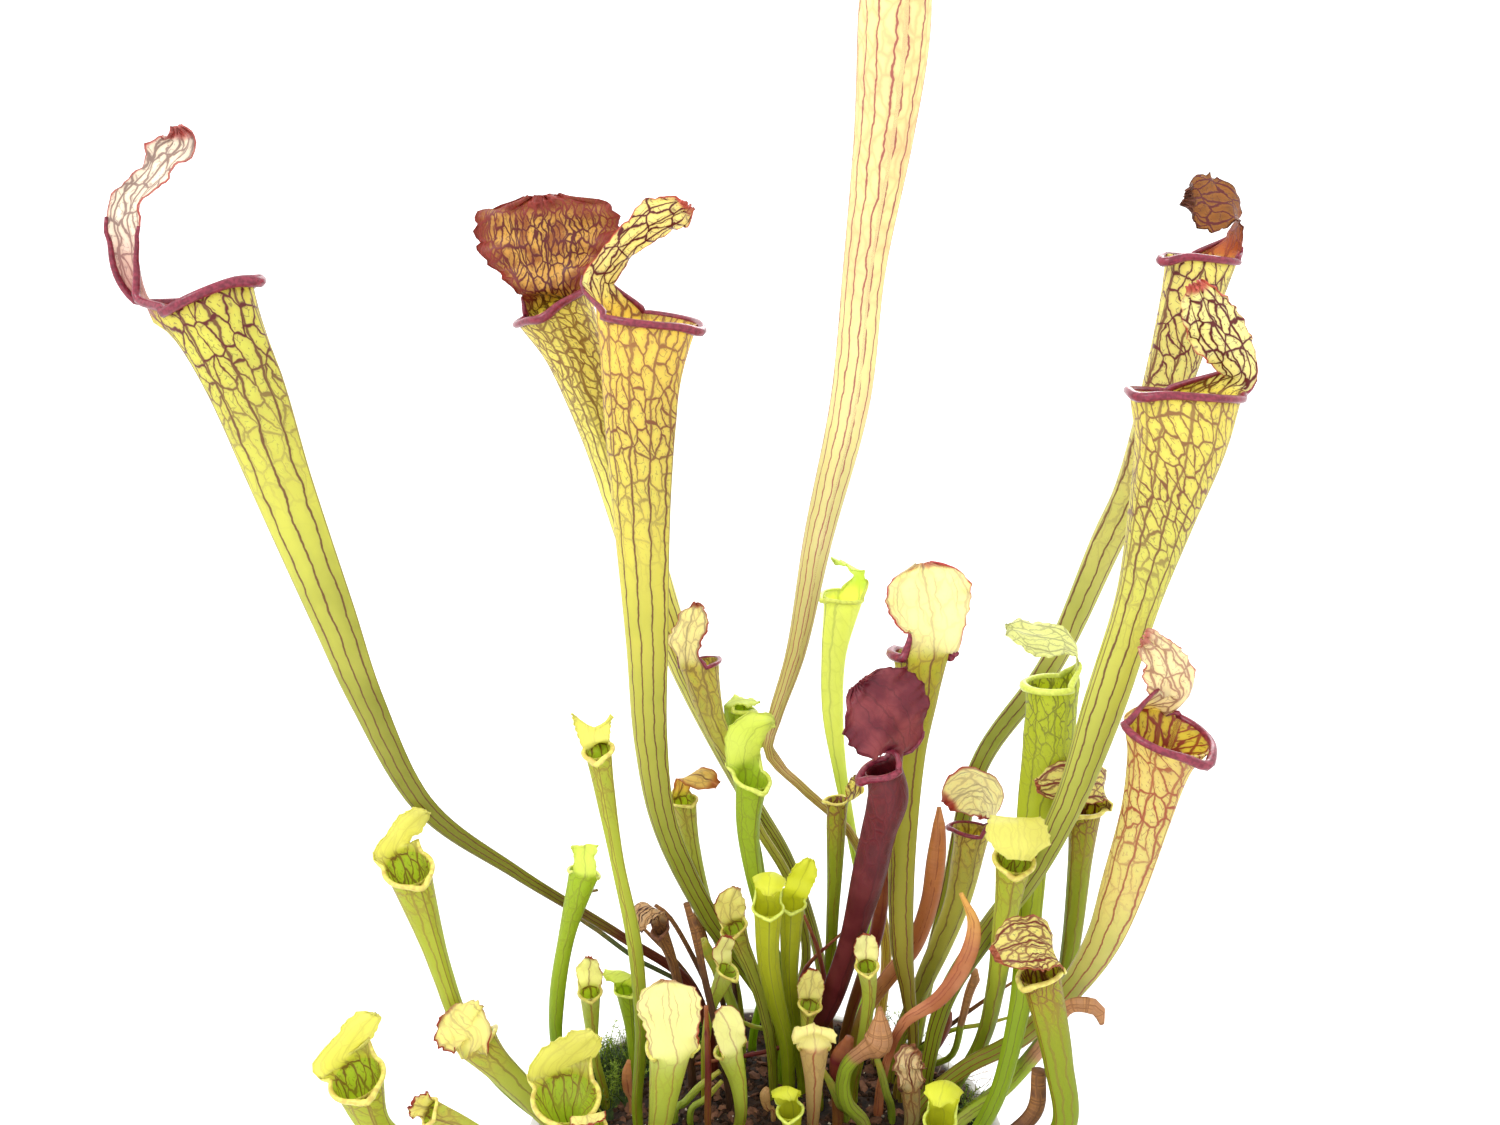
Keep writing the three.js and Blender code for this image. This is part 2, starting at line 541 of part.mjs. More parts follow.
// Pitchers of middling size, mostly up to 200 mm long
function middlePitchers() {
  pitcher("pitcher_pale_far", "leaf_green", "medium", -150, [32, 55, 3.4], [
    [868, 940, 56, 3.4], [851, 830, 56, 3.6], [840, 770, 56, 4.8], [833, 712, 55, 7.2],
    [834, 655, 54, 8.4], [844, 596, 53, 12.5],
  ], lidOf(6, 8, 14, 12, [0, 30, 95], [-20, 25], 0.6, 2));
  pitcher("pitcher_fanned_far", "leaf_yellow", "medium", 50, [4, 50, 3.4], [
    [806, 960, 46, 3.4], [789, 880, 44, 3.4], [756, 823, 42, 3.4], [739, 769, 41, 5.2],
    [714, 723, 40, 8], [699, 664, 39, 12],
  ], lidOf(2, 8, 21, 16, [0, 18, 52], [-20, 20], 0.8, 2));
  pitcher("pitcher_hooded_far", "leaf_green", "medium", 10, [-4, 54, 3], [
    [768, 960, 52, 3], [758, 870, 51, 4], [742, 790, 50, 4.8], [736, 722, 49, 7.5],
    [737, 708, 49, 8.5],
  ], lidOf(1, 6, 12, 10, [10, 60, 110], [-20, 30], 0.5, 2));
  pitcher("pitcher_hooded_middle", "leaf_yellow", "medium", -60, [6, 30, 3.8], [
    [790, 1010, 30, 4], [770, 940, 31, 4.5], [753, 870, 31, 6], [748, 823, 31, 8],
    [752, 778, 30, 10.5],
  ], lidAlong(1, [-20, -10], [
    [744, 752, 33, 13, 115, 15], [747, 739, 33, 15, 105, 15], [757, 728, 32, 14, 100, 15],
    [768, 723, 31, 8, 100, 15], [775, 722, 31, 3, 100, 15],
  ], { wave: 0.4, settle: 3 }), { dip: 0.25 });
  pitcher("pitcher_yellow_right", "leaf_yellow", "medium", 165, [44, 34, 4], [
    [925, 981, 36, 6], [941, 946, 35, 7], [959, 900, 34, 8], [974, 830, 33, 10.5],
  ], lidAlong(2, [-15, 25], [
    [992, 817, 34, 11, -25, 10], [992, 803, 34, 15, -50, 30], [978, 791, 31, 19, -80, 45],
    [959, 796, 29, 15, -95, 35], [947, 805, 27, 5, -100, 25],
  ], { wave: 0.8, waves: 2.5, settle: 4 }), { spout: 0.3 });
  pitcher("pitcher_pale_right", "leaf_yellow", "medium", -95, [60, 13, 3.8], [
    [980, 1045, 17, 5], [996, 985, 2, 6], [1003, 935, -8, 7], [1008, 900, -11, 8],
    [1014, 860, -14, 10.5],
  ], lidAlong(1, [-10, 25], [
    [1015, 838, -8, 10, 85, 25], [1016, 818, -11, 14.5, 85, 75], [1018, 824, -19, 18, -90, 60],
    [1019, 842, -24, 18.5, -90, 25], [1019, 860, -26, 8, -90, 10],
  ], { wave: 0.5, settle: 4 }));
  pitcher("pitcher_veined_right", "leaf_yellow", "medium", -140, [61, 1, 3.8], [
    [1010, 1078, 15, 4], [1055, 1020, 14, 5], [1070, 950, 10, 6], [1080, 860, 8, 7.6],
    [1085, 808, 7, 10],
  ], lidAlong(2, [-20, 20], [
    [1104, 798, 9, 9, 20, 20], [1103, 786, 8, 11, -40, 25], [1085, 782, 5, 13.5, -75, 25],
    [1058, 783, 3, 12.5, -85, 25], [1036, 786, 2, 4, -90, 25],
  ], { wave: 0.6, waves: 2.5, settle: 4 }));
  pitcher("pitcher_veined_front", "leaf_yellow", "medium", -140, [50, -38, 4.4], [
    [1000, 1172, -38, 4.6], [1062, 1130, -40, 7], [1058, 1060, -39, 8.6], [1040, 973, -37, 11],
  ], lidAlong(2, [-20, 20], [
    [1055, 959, -36, 10, 20, 20], [1052, 947, -37, 14, -25, 45], [1036, 941, -39, 18, -65, 58],
    [1012, 946, -41, 15, -80, 58], [992, 954, -42, 5, -85, 55],
  ], { wave: 0.7, waves: 2.5, settle: 4 }));
  pitcher("pitcher_horned", "leaf_yellow", "medium", -90, [-40, -10, 3.2], [
    [637, 1108, -10, 3.4], [641, 1032, -11, 3.9], [635, 948, -12, 4.6], [617, 860, -12, 4.2],
    [604, 787, -12, 6.2], [598, 750, -12, 7.6],
  ], lidAlong(1, [20, 40], [
    [596, 742, -10, 9, 90, 10], [595, 733, -9, 12, 90, 5], [595, 727, -9, 13, 90, 0],
  ], { wave: 0.3, settle: 3, notch: 5 }), { dip: 0.3 });
  pitcher("pitcher_left_mouth", "leaf_yellow", "medium", -55, [-58, -6, 3.8], [
    [560, 1128, -5, 4], [505, 1085, -10, 4.4], [462, 1025, -14, 5.6], [443, 975, -15, 6.3],
    [431, 938, -16, 7.8], [408, 868, -16, 12.4],
  ], lidAlong(1, [-10, -15], [
    [396, 847, -12, 14, 125, 30], [401, 835, -11, 9, 118, 30], [409, 825, -10, 10.5, 110, 25],
    [421, 815, -9, 7, 108, 25], [428, 811, -9, 2, 108, 25],
  ], { wave: 0.4, settle: 3 }), { dip: 0.5 });
  pitcher("pitcher_left_low", "leaf_yellow", "medium", 62, [-58, -21, 4], [
    [570, 1143, -20, 5], [540, 1108, -20, 7], [500, 1068, -22, 8.6], [478, 1045, -22, 10.5],
  ], lidAlong(1, [-15, 15], [
    [473, 1038, -25, 12, -110, 40], [464, 1029, -25, 16, -112, 45], [455, 1020, -24, 16, -112, 45],
    [447, 1011, -23, 6, -112, 45],
  ], { wave: 0.9, waves: 2.5, settle: 3 }), { spout: 0.3 });
  pitcher("pitcher_left_end", "leaf_yellow", "medium", -62, [-52, -36, 4], [
    [550, 1183, -40, 4.5], [450, 1165, -44, 6], [380, 1130, -46, 8], [357, 1078, -46, 13.5],
  ], lidAlong(1, [-10, -15], [
    [342, 1056, -43, 17, 125, 35], [350, 1042, -42, 11, 118, 30], [359, 1030, -41, 11.5, 110, 25],
    [370, 1018, -40, 8, 108, 25], [375, 1012, -40, 2, 108, 25],
  ], { wave: 0.4, settle: 3 }), { dip: 0.35 });
  pitcher("pitcher_wide_mouth", "leaf_yellow", "medium", -75, [-44, -33, 4.4], [
    [585, 1160, -37, 6], [567, 1122, -41, 8], [566, 1097, -42, 17],
  ], lidAlong(1, [-10, -15], [
    [560, 1066, -35, 19, 112, 20], [572, 1054, -35, 16, 106, 22], [585, 1043, -34, 13.5, 102, 22],
    [596, 1034, -34, 5, 100, 22],
  ], { cuts: { rows: 6 }, wave: 0.5, settle: 3 }), { dip: 0.12 });
  pitcher("pitcher_front_back_view", "leaf_yellow", "medium", 112, [-31, -21, 4.2], [
    [658, 1150, -22, 5.4], [662, 1110, -24, 8], [670, 1052, -26, 11.6],
  ], lidAlong(1, [-15, 10], [
    [673, 1037, -31, 15, -92, 10], [671, 1020, -31, 17.5, -94, 15], [669, 1002, -30, 19, -95, 20],
    [668, 988, -29, 14, -95, 25], [668, 980, -28, 4, -95, 25],
  ], { cuts: { rows: 6 }, wave: 0.7, waves: 2.5, settle: 4 }), { spout: 0.45 });
}

// Short pitchers round the foot of the clump
function shortPitchers() {
  const small = (neckWide, length, wide, lean) => (
    lidOf(0.01, neckWide, length, wide, lean, [-10, 20], 0.5, 2)
  );
  const smallAlong = (cup, way, more = {}) => (
    lidAlong(0.5, cup, way, { wave: 0.4, settle: 2.5, ...more })
  );
  pitcher("pitcher_orange_lid", "leaf_yellow", "small", -60, [-8, 45, 3.2], [
    [735, 985, 43, 3.4], [705, 903, 43, 5], [690, 841, 42, 6.4], [684, 800, 42, 8],
  ], smallAlong([-10, 30], [
    [681, 789, 45, 7, 125, 30], [684, 778, 45, 9, 120, 65], [695, 775, 43, 10, -90, 65],
    [708, 779, 41, 9, -85, 50], [718, 785, 40, 3, -85, 45],
  ]));
  pitcher("pitcher_small_hood_left", "leaf_green", "small", 95, [-60, 8, 3.2], [
    [558, 1052, 4, 3.8], [557, 998, 3, 5], [567, 935, 2, 5.4], [584, 873, 2, 9],
  ], smallAlong([-10, -20], [
    [585, 864, -3, 7, -90, 5], [584, 856, -3, 6.5, -90, 5], [585, 849, -3, 8, -90, 0],
    [585, 845, -3, 8.5, -90, 0],
  ]));
  pitcher("pitcher_tiny_left", "leaf_yellow", "small", -60, [-44, -46, 3], [
    [540, 1180, -50, 3], [474, 1130, -54, 3.8], [430, 1112, -56, 6.5],
  ], small(5, 7, 8, [0, 15, 60]));
  pitcher("pitcher_round_lid", "leaf_yellow", "small", -85, [-34, -47, 3.6], [
    [600, 1165, -53, 4.6], [590, 1130, -60, 8],
  ], small(6, 8, 10, [0, 20, 90]));
  pitcher("pitcher_small_front", "leaf_yellow", "small", 128, [-9, -8, 3.6], [
    [741, 1114, -10, 3.8], [738, 1082, -11, 5.4], [729, 1050, -12, 8],
  ], smallAlong([-15, 15], [
    [731, 1038, -15, 9, -80, 8], [729, 1027, -15, 9.5, -85, 15], [724, 1016, -14, 8.5, -90, 25],
    [718, 1009, -13, 3, -90, 30],
  ]));
  pitcher("pitcher_small_curved", "leaf_yellow", "small", -40, [-20, 17, 3], [
    [706, 1040, 16, 3], [712, 1005, 13.5, 3.6], [727, 970, 11, 6.4],
  ], smallAlong([-10, 20], [
    [722, 960, 13, 6, 115, 25], [722, 950, 13, 6.5, 105, 25], [727, 940, 12, 5.5, 100, 25],
    [729, 935, 12, 2, 100, 25],
  ]));
  pitcher("pitcher_small_left_one", "leaf_yellow", "small", -80, [-54, 17, 3], [
    [594, 1050, 14, 3.2], [590, 992, 12, 6.6],
  ], smallAlong([-10, 20], [
    [590, 980, 14, 8, 90, 20], [589, 970, 13, 9, 80, 40], [590, 962, 11, 6, 80, 40],
    [588, 956, 10, 2, 80, 40],
  ]));
  pitcher("pitcher_small_left_two", "leaf_green", "small", -60, [-44, 24, 3], [
    [630, 1030, 22, 3.2], [625, 990, 22, 6],
  ], smallAlong([40, 60], [
    [628, 977, 23, 8.5, 80, 35], [620, 970, 21, 10.5, 90, 70], [610, 973, 18, 8, -100, 60],
    [604, 977, 17, 2.5, -100, 50],
  ]));
  pitcher("pitcher_red_edged", "leaf_yellow", "small", -95, [3, 21, 3.2], [
    [770, 1040, 21, 3.6], [757, 985, 21, 4.6], [741, 945, 20, 6], [734, 928, 20, 8],
  ], smallAlong([-15, 15], [
    [732, 918, 23, 9, 85, 12], [730, 908, 22, 10.5, 88, 15], [732, 897, 21, 9, 90, 15],
    [737, 887, 21, 2.5, 90, 15],
  ]));
  pitcher("pitcher_pair_left", "leaf_yellow", "small", -85, [8, 13, 4.2], [
    [786, 1042, 12, 5], [774, 994, 11, 6.6], [768, 956, 10, 7.4], [768, 908, 9, 8.8],
  ], smallAlong([40, 60], [
    [768, 890, 14, 9, 88, 25], [769, 872, 12, 12, 85, 75], [770, 876, 6, 11.5, -90, 60],
    [769, 888, 2, 9.5, -90, 30], [768, 896, 1, 3.5, -90, 10],
  ], { cuts: { lid: 4 } }));
  pitcher("pitcher_pair_right", "leaf_yellow", "small", -95, [13, 24, 3.8], [
    [797, 1040, 23, 4.4], [790, 975, 22, 5.6], [792, 904, 22, 8],
  ], smallAlong([-10, 25], [
    [797, 890, 24, 8.5, 85, 15], [801, 879, 24, 9, 85, 20], [806, 867, 23, 8, 90, 20],
    [810, 858, 23, 2.5, 90, 20],
  ]));
  pitcher("pitcher_small_lidded", "leaf_yellow", "small", -95, [18, 14, 3], [
    [810, 1060, 13, 3.2], [807, 1020, 12, 4.2], [810, 1005, 12, 6.6],
  ], smallAlong([-10, 15], [
    [810, 996, 14, 8, 85, 12], [811, 984, 14, 9, 88, 15], [812, 974, 14, 6, 90, 15],
    [813, 968, 14, 2, 90, 15],
  ]));
  pitcher("pitcher_small_upright", "leaf_yellow", "small", -90, [30, 18, 3.2], [
    [861, 1050, 13, 3.6], [869, 995, 9, 4.6], [867, 966, 7, 6.4],
  ], smallAlong([-10, 15], [
    [867, 957, 9, 7.5, 88, 12], [866, 947, 9, 8.2, 90, 15], [866, 938, 9, 6, 90, 15],
    [866, 933, 9, 2, 90, 15],
  ]));
  pitcher("pitcher_slender_far", "leaf_yellow", "small", 175, [13, 45, 3.2], [
    [826, 985, 42, 3.4], [834, 900, 36, 4.2], [838, 800, 34, 6.5],
  ], smallAlong([-10, 20], [
    [851, 801, 34, 6, -20, 10], [855, 792, 34, 8, -50, 15], [856, 782, 33, 6.5, -65, 20],
    [854, 776, 33, 2, -70, 20],
  ]));
  pitcher("pitcher_cream_lid", "leaf_yellow", "small", 90, [15, -6, 3.6], [
    [813, 1121, -7, 3.8], [814, 1080, -8, 6], [814, 1046, -8, 9],
  ], smallAlong([-10, -50], [
    [814, 1038, -12, 10.5, -90, 5], [814, 1032, -13, 14, -90, 10], [814, 1027, -12, 14.5, -90, 30],
    [814, 1023, -10, 9, -90, 45],
  ], { notch: -4 }));
  pitcher("pitcher_bright_yellow", "leaf_yellow", "small", -100, [8, -17, 3.8], [
    [793, 1134, -19, 4.6], [790, 1110, -20, 7],
  ], smallAlong([45, 65], [
    [788, 1098, -17, 7.5, 85, 30], [786, 1087, -19, 10, 80, 75], [787, 1088, -25, 10, -90, 55],
    [790, 1096, -28, 5, -90, 25], [791, 1100, -29, 2, -90, 15],
  ], { cuts: { lid: 4 } }));
  pitcher("pitcher_bright_hood", "leaf_green", "small", -110, [52, -22, 4.2], [
    [940, 1150, -24, 6], [940, 1120, -26, 8.5],
  ], smallAlong([45, 65], [
    [943, 1100, -23, 9.5, 80, 25], [945, 1081, -26, 13, 80, 75], [944, 1084, -33, 12, -90, 50],
    [940, 1098, -37, 10.5, -90, 25], [938, 1107, -38, 4, -90, 10],
  ], { cuts: { lid: 4 } }));
  pitcher("pitcher_young_left", "leaf_green", "small", -100, [-14, -40, 3.4], [
    [706, 1190, -43, 4.4], [700, 1162, -46, 7],
  ], small(6, 8, 8, [0, 20, 90]));
  pitcher("pitcher_young_middle", "leaf_yellow", "small", -80, [12, -52, 3.4], [
    [806, 1205, -56, 4.6], [808, 1172, -59, 7.4],
  ], small(6, 8, 9, [0, 15, 70]));
  pitcher("pitcher_young_right", "leaf_green", "small", -70, [34, -40, 3.4], [
    [880, 1185, -43, 4.6], [888, 1150, -46, 7.4],
  ], small(6, 9, 9, [0, 20, 80]));
}

// Leaves without an open mouth
function bladesAndStalks() {
  blade("leaf_orange_curved", "leaf_orange", -110, [38, 12, 3.4], [
    [888, 1058, 5, 2.8], [905, 1022, -1, 3.6], [940, 998, -4, 5], [966, 960, -5, 5.4],
    [974, 925, -5, 4.2], [961, 893, -5, 1.4],
  ], 0.4, 9);
  blade("pitcher_unopened_orange", "leaf_orange", -90, [30, 34, 4], [
    [866, 1010, 31, 5], [888, 978, 30, 5.8], [912, 948, 29, 6.2], [929, 904, 26, 6.2],
    [936, 860, 24, 6.5], [939, 825, 24, 4.2], [939, 807, 24, 1.4],
  ], 0.8, 9);
  blade("tube_maroon_far", "leaf_red", -90, [28, 45, 3.8], [
    [850, 1015, 43, 4], [877, 930, 39, 5], [884, 872, 37, 4.6], [885, 855, 37, 2.4],
  ], 0.9, 6);
  blade("tube_cut_open", "leaf_dead", -60, [-8, 30, 3.2], [
    [735, 1015, 27, 3.4], [722, 980, 25, 3.6], [708, 952, 24, 4], [701, 941, 24, 4.2],
  ], 1, 6);
  blade("stalk_red_brown", "leaf_dead", -90, [-18, -8, 2.2], [
    [708, 1125, -9, 2.2], [708, 1060, -10, 2.1], [706, 1006, -10, 1.4],
  ], 1, 4);
  blade("leaf_withered_tip", "leaf_dead", -90, [56, -9, 4], [
    [965, 1117, -5, 4], [1000, 1093, -5, 4.2], [1043, 1045, -10, 4.4], [1070, 1006, -15, 4.4],
    [1096, 1008, -17, 5], [1102, 1024, -17, 1.6],
  ], 0.8, 9);
  blade("leaf_withered_cone", "leaf_dead", -90, [32, 0, 4.4], [
    [846, 1102, -3, 4.8], [843, 1080, -4, 4.6], [850, 1062, -5, 4.8], [864, 1051, -5, 5.6],
    [877, 1043, -5, 9.6], [880, 1025, -5, 6], [880, 1007, -5, 1.2],
  ], 0.9, 9);
  blade("stub_brown_right", "leaf_dead", -90, [57, -30, 3.8], [
    [990, 1150, -32, 4], [1034, 1112, -33, 5], [1039, 1070, -33, 4.4],
  ], 0.8, 5);
  blade("stalk_dead_middle", "leaf_dead", -90, [-12, 14, 2.6], [
    [704, 975, 7, 2.4], [693, 925, 5, 2.8], [686, 903, 5, 2],
  ], 0.9, 5);
  blade("stalk_maroon_low", "leaf_red", -90, [24, 6, 4], [
    [838, 1085, 7, 5], [842, 1058, 7, 7.5], [850, 1037, 7, 3],
  ], 0.8, 5);
  pitcher("pitcher_dead_tan", "leaf_dead", "small", -100, [-25, 26, 3], [
    [684, 1012, 22, 3], [672, 960, 19, 3.4], [660, 930, 17, 5],
  ], lidAlong(0.5, [15, 50], [
    [659, 917, 19, 6, 100, 35], [653, 907, 16, 8, -60, 75], [644, 909, 12, 9, -100, 50],
    [639, 920, 10, 7.5, -110, 20], [638, 932, 10, 3, -110, 0],
  ], { wave: 0.8, settle: 2.5 }));
  pitcher("pitcher_dried_cream", "leaf_dead", "small", 95, [47, -3, 4.6], [
    [912, 1112, -4, 5.2], [910, 1086, -5, 6.4],
  ], lidAlong(0.5, [-15, 20], [
    [910, 1076, -9, 8.5, -88, 5], [909, 1066, -9, 10, -92, 12], [912, 1056, -8, 9, -92, 25],
    [919, 1050, -7, 3.5, -90, 40],
  ], { wave: 1, waves: 3, settle: 2.5 }));
}

// The pot, with a thicker band round its top and holes through its floor
function addPot() {
  const bodyRadius = (z) => potInside(z) + pot.wall;
  const bandFoot = pot.height - pot.bandHeight;
  const profile = [
    [0, 0],
    [pot.footRadius - 1.2, 0],
    [pot.footRadius, 1.2],
    [bodyRadius(bandFoot), bandFoot],
    [pot.rimRadius, bandFoot + 1],
    [pot.rimRadius, pot.height - 0.8],
    [pot.rimRadius - 0.8, pot.height],
    [potInside(pot.height) + 0.6, pot.height],
    [potInside(pot.height), pot.height - 0.6],
    [potInside(pot.floor), pot.floor],
    [0, pot.floor],
  ].map(([r, z]) => new THREE.Vector2(r, z));
  let solid = toSolid(new THREE.LatheGeometry(profile, pot.sides).rotateX(Math.PI / 2));
  for (let index = 0; index < pot.drainHoles; index += 1) {
    const turn = (2 * Math.PI * index) / pot.drainHoles;
    const drill = new THREE.CylinderGeometry(pot.drainRadius, pot.drainRadius, pot.floor * 3, 8);
    drill.rotateX(Math.PI / 2);
    drill.translate(pot.drainCircle * Math.cos(turn), pot.drainCircle * Math.sin(turn), pot.floor / 2);
    solid = solid.subtract(toSolid(drill));
  }
  addMesh("pot", "pot_plastic", solid);
}

// A disc of ground that fills the pot: lift raises its top
function groundSolid(lift) {
  const points = [new THREE.Vector3(0, 0, mixTop(0, 0) + lift)];
  const triangles = [];
  const edge = potInside(mixLevel) - mix.gap;
  for (let ring = 1; ring <= mix.rings; ring += 1) {
    for (let side = 0; side < mix.sides; side += 1) {
      const angle = (2 * Math.PI * side) / mix.sides;
      const radius = (edge * ring) / mix.rings;
      const [x, y] = [radius * Math.cos(angle), radius * Math.sin(angle)];
      points.push(new THREE.Vector3(x, y, mixTop(x, y) + lift));
    }
  }
  const low = pot.floor + mix.gap;
  for (let side = 0; side < mix.sides; side += 1) {
    const angle = (2 * Math.PI * side) / mix.sides;
    const radius = potInside(low) - mix.gap;
    points.push(new THREE.Vector3(radius * Math.cos(angle), radius * Math.sin(angle), low));
  }
  const bottom = points.push(new THREE.Vector3(0, 0, low)) - 1;
  for (let side = 0; side < mix.sides; side += 1) {
    const next = (side + 1) % mix.sides;
    triangles.push(0, 1 + side, 1 + next);
    for (let ring = 0; ring < mix.rings; ring += 1) {
      const a = 1 + ring * mix.sides + side;
      const b = 1 + ring * mix.sides + next;
      triangles.push(a, a + mix.sides, b + mix.sides, a, b + mix.sides, b);
    }
    const last = 1 + mix.rings * mix.sides;
    triangles.push(bottom, last + next, last + side);
  }
  return facesToSolid(points, triangles);
}

// An upright socket round a leaf's foot, wide enough to clear it
function footSocket(foot) {
  const [x, y, wide] = foot;
  const radius = (wide / 2 + socket.clearance) / Math.cos(Math.PI / socket.sides);
  const low = mixTop(x, y) - socket.depth - socket.clearance;
  const high = mixTop(x, y) + socket.reach + moss.tuftHeight * 2;
  const bar = new THREE.CylinderGeometry(radius, radius, high - low, socket.sides);
  bar.rotateX(Math.PI / 2);
  bar.translate(x, y, (low + high) / 2);
  return toSolid(bar);
}

// Moss: a thin mat with pointed tufts, laid on the ground in the open front of the pot
function mossSolid() {
  const random = seededRandom(moss.seed);
  const { matRadius, matSpread, matHigh, matSides } = moss;
  const mat = new THREE.CylinderGeometry(matRadius, matRadius + matSpread, matHigh, matSides);
  mat.scale(moss.matWide, 1, moss.matLow);
  mat.rotateX(Math.PI / 2);
  mat.translate(moss.x, moss.y, mixTop(moss.x, moss.y) + moss.pad - matHigh / 2);
  let solid = toSolid(mat);
  const tufts = [];
  for (let index = 0; index < moss.tufts; index += 1) {
    const turn = 2 * Math.PI * random();
    const spread = 0.97 * Math.sqrt(random()) * matRadius;
    const x = moss.x + moss.matWide * spread * Math.cos(turn);
    const y = moss.y + moss.matLow * spread * Math.sin(turn);
    const height = moss.tuftHeight * (0.7 + 0.6 * random());
    const tuft = new THREE.ConeGeometry(moss.tuftRadius, height + moss.tuftRoot, 4, 1);
    tuft.rotateX(Math.PI / 2);
    tuft.rotateY(moss.tuftTilt * (random() - 0.5));
    tuft.translate(x, y, mixTop(x, y) + moss.pad + (height - moss.tuftRoot) / 2);
    tufts.push(toSolid(tuft));
  }
  tufts.forEach((tuft) => {
    solid = solid.add(tuft);
  });
  return solid;
}

function addGroundAndLeaves() {
  let ground = groundSolid(0);
  let mat = mossSolid().subtract(groundSolid(moss.gap));
  leaves.forEach((leaf) => {
    const cut = footSocket(leaf.foot);
    ground = ground.subtract(cut);
    mat = mat.subtract(cut);
  });
  addMesh("potting_mix", "potting_mix", ground);
  addMesh("moss_front", "moss", mat);
  leaves.forEach((leaf) => addMesh(leaf.name, leaf.finish, leaf.solid));
}

addPot();
tallPitchers();
middlePitchers();
shortPitchers();
bladesAndStalks();
addGroundAndLeaves();

export default group;
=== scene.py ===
# The looks of a potted clump of hybrid trumpet pitchers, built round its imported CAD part.
# Lengths are in millimetres until a mesh is made, then metres, in the frame of the CAD.
import math

import bmesh
import bpy
import numpy as np
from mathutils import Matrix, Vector, noise


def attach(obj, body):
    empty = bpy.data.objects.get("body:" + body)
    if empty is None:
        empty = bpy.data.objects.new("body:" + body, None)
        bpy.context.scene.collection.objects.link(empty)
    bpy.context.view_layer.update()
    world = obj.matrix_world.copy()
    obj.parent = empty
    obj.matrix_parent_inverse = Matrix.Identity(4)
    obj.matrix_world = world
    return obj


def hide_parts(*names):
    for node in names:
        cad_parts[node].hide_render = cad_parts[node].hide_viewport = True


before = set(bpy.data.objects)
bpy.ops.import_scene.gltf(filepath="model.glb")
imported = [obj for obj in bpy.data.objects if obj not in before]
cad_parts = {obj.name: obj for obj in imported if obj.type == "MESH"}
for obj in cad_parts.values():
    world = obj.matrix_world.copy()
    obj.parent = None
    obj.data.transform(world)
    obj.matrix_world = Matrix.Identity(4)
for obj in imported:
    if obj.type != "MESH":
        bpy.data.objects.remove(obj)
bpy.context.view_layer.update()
print("frame loaded")

pot = {"height": 130, "rimRadius": 77.5, "footRadius": 55, "wall": 2, "floor": 3,
       "bandHeight": 15, "bandProud": 1.6, "drainHoles": 6, "drainRadius": 5, "drainCircle": 38}
mix = {"belowRim": 7, "mound": 6, "gap": 0.35, "lumps": 1.1}
socket = {"depth": 9, "reach": 5}  # how deep a leaf's foot stands in the mix, and how far it stays upright
mixLevel = pot["height"] - mix["belowRim"]

# The camera. A leaf's route is given as it sees it: across and down in a picture that is 1500 wide,
# how far behind the pot's axis the point lies, and the leaf's width there
eye = {"x": -5, "y": -396, "z": mixLevel + 272, "pitch": math.radians(11), "focal": 1350,
       "centreU": 750, "centreV": 562.5, "pictureWide": 1500, "sensor": 36, "clipStart": 0.01}

# How finely a leaf of each size is made: rows up the tube, columns on the open side and on the
# lid's side, rows of the lid, and the thickness of the wall and of the rolled lip
cuts = {
    "large": {"rows": 84, "open": 30, "fan": 30, "lid": 46, "wall": 0.5, "lip": 1.15},
    "medium": {"rows": 52, "open": 22, "fan": 20, "lid": 30, "wall": 0.45, "lip": 0.75},
    "small": {"rows": 34, "open": 16, "fan": 16, "lid": 22, "wall": 0.4, "lip": 0.5},
}

# What all pitchers share. The mouth's flare reaches down by a share of its width, and the hollow
# starts low in the tube, with fewer rows than outside but for the last ones
tubeForm = {"rowEase": 0.92, "flareReach": 1.1, "keel": 0.1, "hollowFrom": 0.16, "innerStep": 3,
            "topRows": 8}
lidForm = {"halfAngle": math.radians(62), "tipHalfWidth": 0.5, "thinnest": 0.4, "widestAt": 0.42,
           "rowEase": 1.35, "rootBehind": 8}
lipForm = {"out": 0.45, "down": 0.1, "spoutDown": 0.8, "foldStart": 0.35, "foldEnd": 0.95,
           "frontSwell": 0.3}
mouthForm = {"dip": 0.08, "flare": 0.08, "spout": 0.12, "knob": 1.5, "pouch": 0, "lip": 1}


# Small helpers
def smooth(low, high, x):
    t = np.clip((x - low) / (high - low), 0, 1)
    return t * t * (3 - 2 * t)


def unit(v):
    return v / np.linalg.norm(v, axis=-1, keepdims=True)


def heading(azimuth, elevation=0):
    a, e = math.radians(azimuth), math.radians(elevation)
    return np.array([math.cos(a) * math.cos(e), math.sin(a) * math.cos(e), math.sin(e)])


# The point that the camera sees at a place of its picture, on the upright plane so far behind the axis
def seen(u, v, behind):
    across = (u - eye["centreU"]) / eye["focal"]
    down = (v - eye["centreV"]) / eye["focal"]
    alongY = math.cos(eye["pitch"]) - down * math.sin(eye["pitch"])
    alongZ = -math.sin(eye["pitch"]) - down * math.cos(eye["pitch"])
    reach = (behind - eye["y"]) / alongY
    return np.array([eye["x"] + across * reach, behind, eye["z"] + alongZ * reach])


def potInside(z):
    body = pot["rimRadius"] - pot["bandProud"]
    return pot["footRadius"] + (body - pot["footRadius"]) * z / pot["height"] - pot["wall"]


